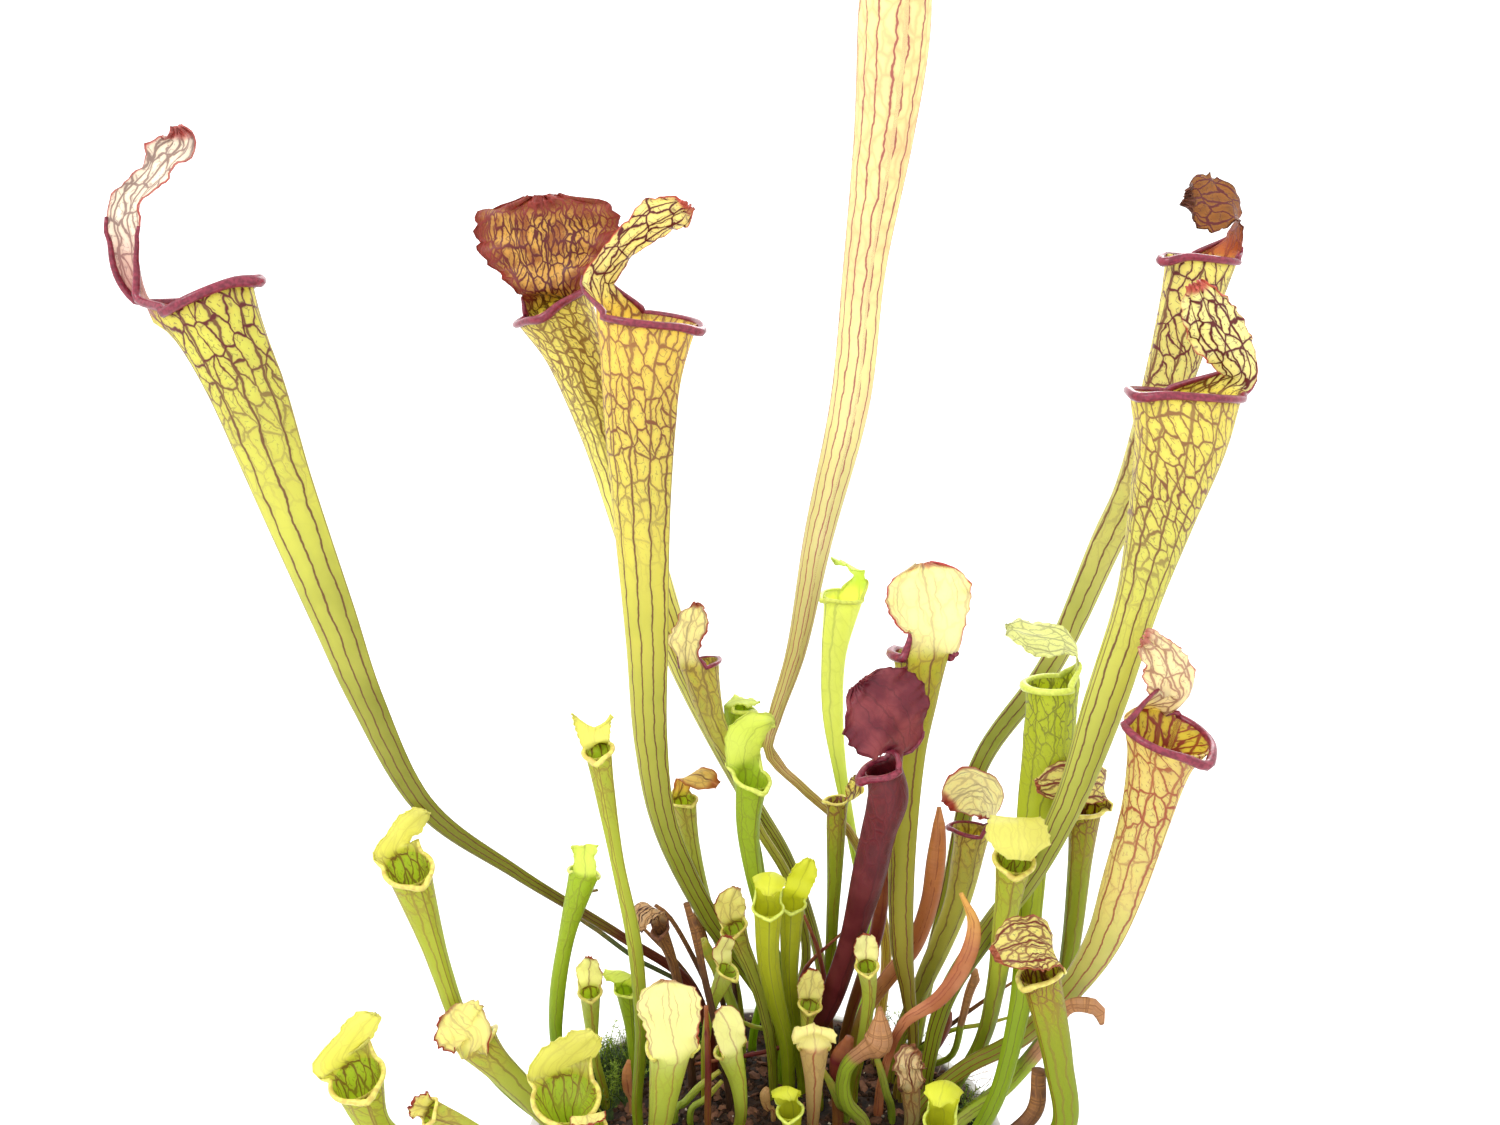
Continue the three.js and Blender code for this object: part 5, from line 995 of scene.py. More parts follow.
# Pitchers of middling size, mostly up to 200 mm long
def middlePitchers():
    pitcher("pitcher_pale_far", "pale", "medium", -150, [32, 55, 3.4], [
        [868, 940, 56, 3.4], [851, 830, 56, 3.6], [840, 770, 56, 4.8], [833, 712, 55, 7.2],
        [834, 655, 54, 8.4], [844, 596, 53, 12.5],
    ], lidOf(6, 8, 14, 12, [0, 30, 95], [-20, 25], 0.6, 2))
    pitcher("pitcher_fanned_far", "redEdged", "medium", 50, [4, 50, 3.4], [
        [806, 960, 46, 3.4], [789, 880, 44, 3.4], [756, 823, 42, 3.4], [739, 769, 41, 5.2],
        [714, 723, 40, 8], [699, 664, 39, 12],
    ], lidOf(2, 8, 21, 16, [0, 18, 52], [-20, 20], 0.8, 2))
    pitcher("pitcher_hooded_far", "smallLime", "medium", 10, [-4, 54, 3], [
        [768, 960, 52, 3], [758, 870, 51, 4], [742, 790, 50, 4.8], [736, 722, 49, 7.5],
        [737, 708, 49, 8.5],
    ], lidOf(1, 6, 12, 10, [10, 60, 110], [-20, 30], 0.5, 2))
    pitcher("pitcher_hooded_middle", "smallLime", "medium", -60, [6, 30, 3.8], [
        [790, 1010, 30, 4], [770, 940, 31, 4.5], [753, 870, 31, 6], [748, 823, 31, 8],
        [752, 778, 30, 10.5],
    ], lidAlong(1, [-20, -10], [
        [744, 752, 33, 13, 115, 15], [747, 739, 33, 15, 105, 15], [757, 728, 32, 14, 100, 15],
        [768, 723, 31, 8, 100, 15], [775, 722, 31, 3, 100, 15],
    ], {"wave": 0.4, "settle": 3}), {"dip": 0.25})
    pitcher("pitcher_yellow_right", "redEdged", "medium", 165, [44, 34, 4], [
        [925, 981, 36, 6], [941, 946, 35, 7], [959, 900, 34, 8], [974, 830, 33, 10.5],
    ], lidAlong(2, [-15, 25], [
        [992, 817, 34, 11, -25, 10], [992, 803, 34, 15, -50, 30], [978, 791, 31, 19, -80, 45],
        [959, 796, 29, 15, -95, 35], [947, 805, 27, 5, -100, 25],
    ], {"wave": 0.8, "waves": 2.5, "settle": 4}), {"spout": 0.3})
    pitcher("pitcher_pale_right", "smallYellow", "medium", -95, [60, 13, 3.8], [
        [980, 1045, 17, 5], [996, 985, 2, 6], [1003, 935, -8, 7], [1008, 900, -11, 8],
        [1014, 860, -14, 10.5],
    ], lidAlong(1, [-10, 25], [
        [1015, 838, -8, 10, 85, 25], [1016, 818, -11, 14.5, 85, 75], [1018, 824, -19, 18, -90, 60],
        [1019, 842, -24, 18.5, -90, 25], [1019, 860, -26, 8, -90, 10],
    ], {"wave": 0.5, "settle": 4}))
    pitcher("pitcher_veined_right", "smallNetted", "medium", -140, [61, 1, 3.8], [
        [1010, 1078, 15, 4], [1055, 1020, 14, 5], [1070, 950, 10, 6], [1080, 860, 8, 7.6],
        [1085, 808, 7, 10],
    ], lidAlong(2, [-20, 20], [
        [1104, 798, 9, 9, 20, 20], [1103, 786, 8, 11, -40, 25], [1085, 782, 5, 13.5, -75, 25],
        [1058, 783, 3, 12.5, -85, 25], [1036, 786, 2, 4, -90, 25],
    ], {"wave": 0.6, "waves": 2.5, "settle": 4}))
    pitcher("pitcher_veined_front", "smallNetted", "medium", -140, [50, -38, 4.4], [
        [1000, 1172, -38, 4.6], [1062, 1130, -40, 7], [1058, 1060, -39, 8.6], [1040, 973, -37, 11],
    ], lidAlong(2, [-20, 20], [
        [1055, 959, -36, 10, 20, 20], [1052, 947, -37, 14, -25, 45], [1036, 941, -39, 18, -65, 58],
        [1012, 946, -41, 15, -80, 58], [992, 954, -42, 5, -85, 55],
    ], {"wave": 0.7, "waves": 2.5, "settle": 4}))
    pitcher("pitcher_horned", "smallYellow", "medium", -90, [-40, -10, 3.2], [
        [637, 1108, -10, 3.4], [641, 1032, -11, 3.9], [635, 948, -12, 4.6], [617, 860, -12, 4.2],
        [604, 787, -12, 6.2], [598, 750, -12, 7.6],
    ], lidAlong(1, [20, 40], [
        [596, 742, -10, 9, 90, 10], [595, 733, -9, 12, 90, 5], [595, 727, -9, 13, 90, 0],
    ], {"wave": 0.3, "settle": 3, "notch": 5}), {"dip": 0.3})
    pitcher("pitcher_left_mouth", "smallYellow", "medium", -55, [-58, -6, 3.8], [
        [560, 1128, -5, 4], [505, 1085, -10, 4.4], [462, 1025, -14, 5.6], [443, 975, -15, 6.3],
        [431, 938, -16, 7.8], [408, 868, -16, 12.4],
    ], lidAlong(1, [-10, -15], [
        [396, 847, -12, 14, 125, 30], [401, 835, -11, 9, 118, 30], [409, 825, -10, 10.5, 110, 25],
        [421, 815, -9, 7, 108, 25], [428, 811, -9, 2, 108, 25],
    ], {"wave": 0.4, "settle": 3}), {"dip": 0.5})
    pitcher("pitcher_left_low", "smallRedEdged", "medium", 62, [-58, -21, 4], [
        [570, 1143, -20, 5], [540, 1108, -20, 7], [500, 1068, -22, 8.6], [478, 1045, -22, 10.5],
    ], lidAlong(1, [-15, 15], [
        [473, 1038, -25, 12, -110, 40], [464, 1029, -25, 16, -112, 45], [455, 1020, -24, 16, -112, 45],
        [447, 1011, -23, 6, -112, 45],
    ], {"wave": 0.9, "waves": 2.5, "ragged": 0.06, "settle": 3}), {"spout": 0.3})
    pitcher("pitcher_left_end", "smallYellow", "medium", -62, [-52, -36, 4], [
        [550, 1183, -40, 4.5], [450, 1165, -44, 6], [380, 1130, -46, 8], [357, 1078, -46, 13.5],
    ], lidAlong(1, [-10, -15], [
        [342, 1056, -43, 17, 125, 35], [350, 1042, -42, 11, 118, 30], [359, 1030, -41, 11.5, 110, 25],
        [370, 1018, -40, 8, 108, 25], [375, 1012, -40, 2, 108, 25],
    ], {"wave": 0.4, "settle": 3}), {"dip": 0.35})
    pitcher("pitcher_wide_mouth", "smallYellow", "medium", -75, [-44, -33, 4.4], [
        [585, 1160, -37, 6], [567, 1122, -41, 8], [566, 1097, -42, 17],
    ], lidAlong(1, [-10, -15], [
        [560, 1066, -35, 19, 112, 20], [572, 1054, -35, 16, 106, 22], [585, 1043, -34, 13.5, 102, 22],
        [596, 1034, -34, 5, 100, 22],
    ], {"wave": 0.5, "settle": 3}), {"dip": 0.12})
    pitcher("pitcher_front_back_view", "smallSpotted", "medium", 112, [-31, -21, 4.2], [
        [658, 1150, -22, 5.4], [662, 1110, -24, 8], [670, 1052, -26, 11.6],
    ], lidAlong(1, [-15, 10], [
        [673, 1037, -31, 15, -92, 10], [671, 1020, -31, 17.5, -94, 15], [669, 1002, -30, 19, -95, 20],
        [668, 988, -29, 14, -95, 25], [668, 980, -28, 4, -95, 25],
    ], {"wave": 0.7, "waves": 2.5, "settle": 4}), {"spout": 0.45})


# Short pitchers round the foot of the clump
def shortPitchers():
    pitcher("pitcher_orange_lid", "smallBrownLid", "small", -60, [-8, 45, 3.2], [
        [735, 985, 43, 3.4], [705, 903, 43, 5], [690, 841, 42, 6.4], [684, 800, 42, 8],
    ], smallLidAlong([-10, 30], [
        [681, 789, 45, 7, 125, 30], [684, 778, 45, 9, 120, 65], [695, 775, 43, 10, -90, 65],
        [708, 779, 41, 9, -85, 50], [718, 785, 40, 3, -85, 45],
    ]))
    pitcher("pitcher_small_hood_left", "smallLime", "small", 95, [-60, 8, 3.2], [
        [558, 1052, 4, 3.8], [557, 998, 3, 5], [567, 935, 2, 5.4], [584, 873, 2, 9],
    ], smallLidAlong([-10, -20], [
        [585, 864, -3, 7, -90, 5], [584, 856, -3, 6.5, -90, 5], [585, 849, -3, 8, -90, 0],
        [585, 845, -3, 8.5, -90, 0],
    ]))
    pitcher("pitcher_tiny_left", "smallRedEdged", "small", -60, [-44, -46, 3], [
        [540, 1180, -50, 3], [474, 1130, -54, 3.8], [430, 1112, -56, 6.5],
    ], smallLid(5, 7, 8, [0, 15, 60]))
    pitcher("pitcher_round_lid", "smallRedEdged", "small", -85, [-34, -47, 3.6], [
        [600, 1165, -53, 4.6], [590, 1130, -60, 8],
    ], smallLid(6, 8, 10, [0, 20, 90]))
    pitcher("pitcher_small_front", "smallSpotted", "small", 128, [-9, -8, 3.6], [
        [741, 1114, -10, 3.8], [738, 1082, -11, 5.4], [729, 1050, -12, 8],
    ], smallLidAlong([-15, 15], [
        [731, 1038, -15, 9, -80, 8], [729, 1027, -15, 9.5, -85, 15], [724, 1016, -14, 8.5, -90, 25],
        [718, 1009, -13, 3, -90, 30],
    ]))
    pitcher("pitcher_small_curved", "smallSpotted", "small", -40, [-20, 17, 3], [
        [706, 1040, 16, 3], [712, 1005, 13.5, 3.6], [727, 970, 11, 6.4],
    ], smallLidAlong([-10, 20], [
        [722, 960, 13, 6, 115, 25], [722, 950, 13, 6.5, 105, 25], [727, 940, 12, 5.5, 100, 25],
        [729, 935, 12, 2, 100, 25],
    ]))
    pitcher("pitcher_small_left_one", "smallSpotted", "small", -80, [-54, 17, 3], [
        [594, 1050, 14, 3.2], [590, 992, 12, 6.6],
    ], smallLidAlong([-10, 20], [
        [590, 980, 14, 8, 90, 20], [589, 970, 13, 9, 80, 40], [590, 962, 11, 6, 80, 40],
        [588, 956, 10, 2, 80, 40],
    ]))
    pitcher("pitcher_small_left_two", "smallLime", "small", -60, [-44, 24, 3], [
        [630, 1030, 22, 3.2], [625, 990, 22, 6],
    ], smallLidAlong([40, 60], [
        [628, 977, 23, 8.5, 80, 35], [620, 970, 21, 10.5, 90, 70], [610, 973, 18, 8, -100, 60],
        [604, 977, 17, 2.5, -100, 50],
    ]))
    pitcher("pitcher_red_edged", "smallRedEdged", "small", -95, [3, 21, 3.2], [
        [770, 1040, 21, 3.6], [757, 985, 21, 4.6], [741, 945, 20, 6], [734, 928, 20, 8],
    ], smallLidAlong([-15, 15], [
        [732, 918, 23, 9, 85, 12], [730, 908, 22, 10.5, 88, 15], [732, 897, 21, 9, 90, 15],
        [737, 887, 21, 2.5, 90, 15],
    ]))
    pitcher("pitcher_pair_left", "smallBright", "small", -85, [8, 13, 4.2], [
        [786, 1042, 12, 5], [774, 994, 11, 6.6], [768, 956, 10, 7.4], [768, 908, 9, 8.8],
    ], smallLidAlong([40, 60], [
        [768, 890, 14, 9, 88, 25], [769, 872, 12, 12, 85, 75], [770, 876, 6, 11.5, -90, 60],
        [769, 888, 2, 9.5, -90, 30], [768, 896, 1, 3.5, -90, 10],
    ]))
    pitcher("pitcher_pair_right", "smallBright", "small", -95, [13, 24, 3.8], [
        [797, 1040, 23, 4.4], [790, 975, 22, 5.6], [792, 904, 22, 8],
    ], smallLidAlong([-10, 25], [
        [797, 890, 24, 8.5, 85, 15], [801, 879, 24, 9, 85, 20], [806, 867, 23, 8, 90, 20],
        [810, 858, 23, 2.5, 90, 20],
    ]))
    pitcher("pitcher_small_lidded", "smallRedEdged", "small", -95, [18, 14, 3], [
        [810, 1060, 13, 3.2], [807, 1020, 12, 4.2], [810, 1005, 12, 6.6],
    ], smallLidAlong([-10, 15], [
        [810, 996, 14, 8, 85, 12], [811, 984, 14, 9, 88, 15], [812, 974, 14, 6, 90, 15],
        [813, 968, 14, 2, 90, 15],
    ]))
    pitcher("pitcher_small_upright", "smallSpotted", "small", -90, [30, 18, 3.2], [
        [861, 1050, 13, 3.6], [869, 995, 9, 4.6], [867, 966, 7, 6.4],
    ], smallLidAlong([-10, 15], [
        [867, 957, 9, 7.5, 88, 12], [866, 947, 9, 8.2, 90, 15], [866, 938, 9, 6, 90, 15],
        [866, 933, 9, 2, 90, 15],
    ]))
    pitcher("pitcher_slender_far", "smallNetted", "small", 175, [13, 45, 3.2], [
        [826, 985, 42, 3.4], [834, 900, 36, 4.2], [838, 800, 34, 6.5],
    ], smallLidAlong([-10, 20], [
        [851, 801, 34, 6, -20, 10], [855, 792, 34, 8, -50, 15], [856, 782, 33, 6.5, -65, 20],
        [854, 776, 33, 2, -70, 20],
    ]))
    pitcher("pitcher_cream_lid", "smallTan", "small", 90, [15, -6, 3.6], [
        [813, 1121, -7, 3.8], [814, 1080, -8, 6], [814, 1046, -8, 9],
    ], smallLidAlong([-10, -50], [
        [814, 1038, -12, 10.5, -90, 5], [814, 1032, -13, 14, -90, 10], [814, 1027, -12, 14.5, -90, 30],
        [814, 1023, -10, 9, -90, 45],
    ], {"notch": -4}))
    pitcher("pitcher_bright_yellow", "smallBright", "small", -100, [8, -17, 3.8], [
        [793, 1134, -19, 4.6], [790, 1110, -20, 7],
    ], smallLidAlong([45, 65], [
        [788, 1098, -17, 7.5, 85, 30], [786, 1087, -19, 10, 80, 75], [787, 1088, -25, 10, -90, 55],
        [790, 1096, -28, 5, -90, 25], [791, 1100, -29, 2, -90, 15],
    ]))
    pitcher("pitcher_bright_hood", "smallBright", "small", -110, [52, -22, 4.2], [
        [940, 1150, -24, 6], [940, 1120, -26, 8.5],
    ], smallLidAlong([45, 65], [
        [943, 1100, -23, 9.5, 80, 25], [945, 1081, -26, 13, 80, 75], [944, 1084, -33, 12, -90, 50],
        [940, 1098, -37, 10.5, -90, 25], [938, 1107, -38, 4, -90, 10],
    ]))
    pitcher("pitcher_young_left", "smallLime", "small", -100, [-14, -40, 3.4], [
        [706, 1190, -43, 4.4], [700, 1162, -46, 7],
    ], smallLid(6, 8, 8, [0, 20, 90]))
    pitcher("pitcher_young_middle", "smallYellow", "small", -80, [12, -52, 3.4], [
        [806, 1205, -56, 4.6], [808, 1172, -59, 7.4],
    ], smallLid(6, 8, 9, [0, 15, 70]))
    pitcher("pitcher_young_right", "smallLime", "small", -70, [34, -40, 3.4], [
        [880, 1185, -43, 4.6], [888, 1150, -46, 7.4],
    ], smallLid(6, 9, 9, [0, 20, 80]))


# Leaves without an open mouth
def bladesAndStalks():
    blade("leaf_orange_curved", "orangeCurved", -110, [38, 12, 3.4], [
        [888, 1058, 5, 2.8], [905, 1022, -1, 3.6], [940, 998, -4, 5], [966, 960, -5, 5.4],
        [974, 925, -5, 4.2], [961, 893, -5, 1.4],
    ], 0.4)
    blade("pitcher_unopened_orange", "orange", -90, [30, 34, 4], [
        [866, 1010, 31, 5], [888, 978, 30, 5.8], [912, 948, 29, 6.2], [929, 904, 26, 6.2],
        [936, 860, 24, 6.5], [939, 825, 24, 4.2], [939, 807, 24, 1.4],
    ], 0.8)
    blade("tube_maroon_far", "maroonStalk", -90, [28, 45, 3.8], [
        [850, 1015, 43, 4], [877, 930, 39, 5], [884, 872, 37, 4.6], [885, 855, 37, 2.4],
    ], 0.9)
    blade("tube_cut_open", "plainGreen", -60, [-8, 30, 3.2], [
        [735, 1015, 27, 3.4], [722, 980, 25, 3.6], [708, 952, 24, 4], [701, 941, 24, 4.2],
    ], 1, True)
    blade("stalk_red_brown", "maroonStalk", -90, [-18, -8, 2.2], [
        [708, 1125, -9, 2.2], [708, 1060, -10, 2.1], [706, 1006, -10, 1.4],
    ], 1)
    blade("leaf_withered_tip", "witheredTip", -90, [56, -9, 4], [
        [965, 1117, -5, 4], [1000, 1093, -5, 4.2], [1043, 1045, -10, 4.4], [1070, 1006, -15, 4.4],
        [1096, 1008, -17, 5], [1102, 1024, -17, 1.6],
    ], 0.8)
    blade("leaf_withered_cone", "witheredTip", -90, [32, 0, 4.4], [
        [846, 1102, -3, 4.8], [843, 1080, -4, 4.6], [850, 1062, -5, 4.8], [864, 1051, -5, 5.6],
        [877, 1043, -5, 9.6], [880, 1025, -5, 6], [880, 1007, -5, 1.2],
    ], 0.9)
    blade("stub_brown_right", "dead", -90, [57, -30, 3.8], [
        [990, 1150, -32, 4], [1034, 1112, -33, 5], [1039, 1070, -33, 4.4],
    ], 0.8)
    blade("stalk_dead_middle", "dead", -90, [-12, 14, 2.6], [
        [704, 975, 7, 2.4], [693, 925, 5, 2.8], [686, 903, 5, 2],
    ], 0.9)
    # A short maroon blade low in the hollow of the clump. Its dark colour there also stands for painted
    # shade
    blade("stalk_maroon_low", "maroonStalk", -90, [24, 6, 4], [
        [838, 1085, 7, 5], [842, 1058, 7, 7.5], [850, 1037, 7, 3],
    ], 0.8)
    pitcher("pitcher_dead_tan", "dead", "small", -100, [-25, 26, 3], [
        [684, 1012, 22, 3], [672, 960, 19, 3.4], [660, 930, 17, 5],
    ], lidAlong(0.5, [15, 50], [
        [659, 917, 19, 6, 100, 35], [653, 907, 16, 8, -60, 75], [644, 909, 12, 9, -100, 50],
        [639, 920, 10, 7.5, -110, 20], [638, 932, 10, 3, -110, 0],
    ], {"wave": 0.8, "settle": 2.5, "ragged": 0.08}))
    pitcher("pitcher_dried_cream", "driedCream", "small", 95, [47, -3, 4.6], [
        [912, 1112, -4, 5.2], [910, 1086, -5, 6.4],
    ], lidAlong(0.5, [-15, 20], [
        [910, 1076, -9, 8.5, -88, 5], [909, 1066, -9, 10, -92, 12], [912, 1056, -8, 9, -92, 25],
        [919, 1050, -7, 3.5, -90, 40],
    ], {"wave": 1, "waves": 3, "settle": 2.5, "ragged": 0.1}))


tallPitchers()
middlePitchers()
shortPitchers()
bladesAndStalks()
print("leaves made")


# Thin stalks and small leaves low in the clump, each from the place on the mix where it is seen to
# start. They are too fine for the CAD.
def onMix(u, v):
    height = mixLevel + mix["mound"] / 2
    for _ in range(6):
        near, far = seen(u, v, -80), seen(u, v, 80)
        place = near + (far - near) * (height - near[2]) / (far[2] - near[2])
        height = float(mixTop(place[0], place[1]))
    inward = min(1, (potInside(mixLevel) - 8) / math.hypot(place[0], place[1]))
    return place[0] * inward, place[1] * inward


def stalk(name, look, base, route, deep=0.9, facing=-90):
    x, y = onMix(base[0], base[1])
    piece = bladePiece(name, look, facing, [x, y, base[2]], route, deep, bladeForm["stalkRows"])
    addExtra(piece)


def addStalks():
    stalk("stalk_pale_lying", "plainGreen", [796, 1062, 1.8], [
        [790, 1038, 44, 1.8], [770, 1030, 40, 1.7], [752, 1026, 38, 1.6], [737, 1019, 37, 1.0]])
    stalk("stalk_maroon_lying", "maroonStalk", [812, 1075, 1.8], [
        [796, 1046, 34, 1.7], [760, 1053, 30, 1.6], [725, 1059, 27, 1.5], [694, 1064, 25, 0.9]])
    stalk("stalk_green_low_one", "plainGreen", [676, 1122, 2.6], [
        [684, 1103, 10, 2.6], [700, 1086, 11, 2.4], [720, 1071, 12, 1.6]])
    stalk("stalk_green_low_two", "plainGreen", [692, 1122, 2.2], [
        [704, 1100, 9, 2.2], [722, 1081, 9, 1.4]])
    stalk("leaf_tiny_yellow", "smallTan", [772, 1122, 1.8], [
        [768, 1108, 4, 2.4], [765, 1094, 3, 3.4], [767, 1088, 3, 1.6]])
    stalk("stalk_green_middle", "plainGreen", [891, 1122, 2.6], [
        [887, 1095, 6, 2.6], [880, 1068, 5, 2.4], [874, 1050, 5, 1.4]])
    stalk("stalk_green_left", "plainGreen", [845, 1124, 3], [
        [840, 1104, 4, 3], [832, 1086, 3, 2.8], [823, 1070, 3, 1.6]])
    stalk("leaf_maroon_curl", "maroonStalk", [921, 1076, 2.4], [
        [928, 1058, 22, 2.8], [943, 1034, 20, 3.8], [948, 1016, 19, 3.4], [942, 1007, 18, 2.6],
        [932, 1014, 17, 1.2]], 0.6)
    stalk("leaf_brown_hooked", "witheredTip", [949, 1078, 2.2], [
        [952, 1055, 26, 2.4], [962, 1020, 24, 2.6], [970, 990, 22, 3.2], [976, 974, 21, 3.4],
        [968, 968, 20, 1.4]])
    stalk("stalk_thin_right_one", "dead", [938, 1064, 1.5], [
        [952, 1024, 30, 1.5], [985, 1000, 26, 1.4], [1013, 982, 24, 0.9]])
    stalk("stalk_thin_right_two", "plainGreen", [930, 1070, 1.6], [
        [950, 1031, 27, 1.6], [985, 1024, 22, 1.5], [1014, 1016, 20, 0.9]])
    stalk("leaf_thin_curled", "darkGreen", [694, 1060, 1.6], [
        [692, 990, 34, 1.8], [668, 975, 33, 1.8], [640, 961, 32, 1.8], [600, 932, 30, 1.8],
        [572, 910, 29, 1.7], [576, 896, 29, 1.6], [598, 890, 29, 0.9]], 0.5)
    stalk("stalk_red_thin", "maroonStalk", [832, 1064, 1.8], [
        [828, 1000, 36, 1.7], [818, 950, 34, 1.6], [804, 915, 33, 0.9]])
    stalk("stalk_maroon_crossing", "maroonStalk", [790, 1066, 1.7], [
        [796, 1000, 38, 1.7], [806, 968, 37, 1.6], [842, 933, 36, 0.9]])
    stalk("stalk_brown_one", "dead", [716, 1056, 2], [
        [712, 1000, 40, 2], [692, 955, 38, 1.8], [667, 914, 37, 1.6], [655, 905, 37, 1.4]])
    stalk("stalk_brown_two", "dead", [722, 1060, 2], [
        [724, 1010, 36, 2], [716, 975, 34, 2], [700, 925, 33, 2.6], [694, 903, 33, 1.6]])
    stalk("stalk_brown_three", "dead", [704, 1050, 1.6], [
        [702, 1000, 44, 1.6], [682, 968, 44, 1.6], [650, 935, 44, 1.4], [640, 925, 44, 0.9]])
    stalk("stalk_brown_four", "dead", [738, 1056, 1.6], [
        [736, 1000, 42, 1.6], [728, 950, 42, 1.6], [716, 915, 42, 0.9]])
    stalk("leaf_amber_bent", "orange", [632, 1112, 2.6], [
        [628, 1090, 16, 3.4], [627, 1072, 15, 3.2], [629, 1060, 15, 1.2]], 0.5)


addStalks()
print("stalks made")


# A mesh of its own from lists of points and faces in millimetres
def plainPiece(name, points, faces, material):
    mesh = bpy.data.meshes.new(name)
    mesh.from_pydata([tuple(np.asarray(point) / 1000) for point in points], [], faces)
    mesh.materials.append(material)
    mesh.shade_smooth()
    return linked(name, mesh)


# Evaluates an object with its modifiers into a plain mesh
def bakedPiece(name, thing):
    bpy.context.view_layer.update()
    graph = bpy.context.evaluated_depsgraph_get()
    mesh = bpy.data.meshes.new_from_object(thing.evaluated_get(graph), depsgraph=graph)
    mesh.name = name
    return linked(name, mesh)


def discard(*things):
    for thing in things:
        bpy.data.objects.remove(thing)


# The pot: a smooth turned wall with a thicker band round its top and holes through its floor
potCut = {"sides": 160, "holeSides": 32}


def potOutside(z):
    return potInside(z) + pot["wall"]


def makePot(material):
    top, foot, rim, floor = (pot[key] for key in ("height", "footRadius", "rimRadius", "floor"))
    inTop, inLow = potInside(top), potInside(floor)
    band = top - pot["bandHeight"]
    profile = [(foot - 1.2, 0), (foot - 0.3, 0.3), (foot, 1.2), (potOutside(band / 2), band / 2),
               (potOutside(band), band - 0.4), (potOutside(band) + 0.4, band), (rim - 0.3, band + 0.7),
               (rim, band + 1.2), (rim, top - 0.9), (rim - 0.25, top - 0.25), (rim - 0.9, top),
               (inTop + 0.7, top), (inTop + 0.15, top - 0.2), (inTop, top - 0.8),
               (inLow, floor + 0.8), (inLow - 0.8, floor)]
    grid = np.array([[[*radius * way, z] for way in circle(potCut["sides"])] for radius, z in profile])
    whole = closedTurning("pot_whole", grid, material)
    drills = Sheets()
    for hole in circle(pot["drainHoles"]):
        bar = np.array([[[*pot["drainCircle"] * hole + pot["drainRadius"] * way, z]
                         for way in circle(potCut["holeSides"])] for z in (-floor, 2 * floor)])
        drills.capEnds(drills.grid(bar, blankMaps(bar), wrap=True))
    cutter = drills.build("pot_drills", [material])
    modifier = whole.modifiers.new("holes", "BOOLEAN")
    modifier.operation = "DIFFERENCE"
    modifier.object = cutter
    piece = bakedPiece("look_pot", whole)
    discard(whole, cutter)
    addPiece(piece, "pot")


# The potting mix: a closed mound with a rough top. It is heaped against the wall by heap
# millimetres, behind the clump and beside it, up to heapSpread degrees from the back
ground = {"rings": 60, "sides": 150, "wallRows": 6, "rough": 1.6, "grain": 0.17,
          "heap": 7.4, "heapDeep": 16, "heapSpread": 118, "heapFade": 22}


def heapedTop(x, y):
    edge = potInside(mixLevel)
    fromBack = abs(math.degrees(math.atan2(x, y)))
    share = 1 - float(smooth(ground["heapSpread"] - ground["heapFade"], ground["heapSpread"], fromBack))
    rise = float(smooth(edge - ground["heapDeep"], edge - 3, math.hypot(x, y)))
    return float(mixTop(x, y)) + ground["heap"] * share * rise


def roughTop(x, y):
    share = min(1, math.hypot(x, y) / potInside(mixLevel))
    bumps = ground["rough"] * noise.fractal(Vector((x, y, 3)) * ground["grain"], 0.8, 2.1, 4)
    return heapedTop(x, y) + bumps * (1 - 0.6 * share ** 8)


# Makes the mix and gives back its top alone, for crumbs to be scattered over
def makeGround(material):
    around = circle(ground["sides"])
    low = pot["floor"] + mix["gap"]
    rows = [[[*(potInside(z) - mix["gap"]) * way, z] for way in around]
            for z in np.linspace(low, mixLevel - 0.5, ground["wallRows"])]
    top = [[[*radius * way, roughTop(*radius * way)] for way in around]
           for radius in (potInside(mixLevel) - mix["gap"]) * np.linspace(1, 0.012, ground["rings"])]
    addPiece(closedTurning("look_mix", np.array(rows + top), material), "potting_mix")
    return openTurning("mix_host", np.array(top)[2:], material)


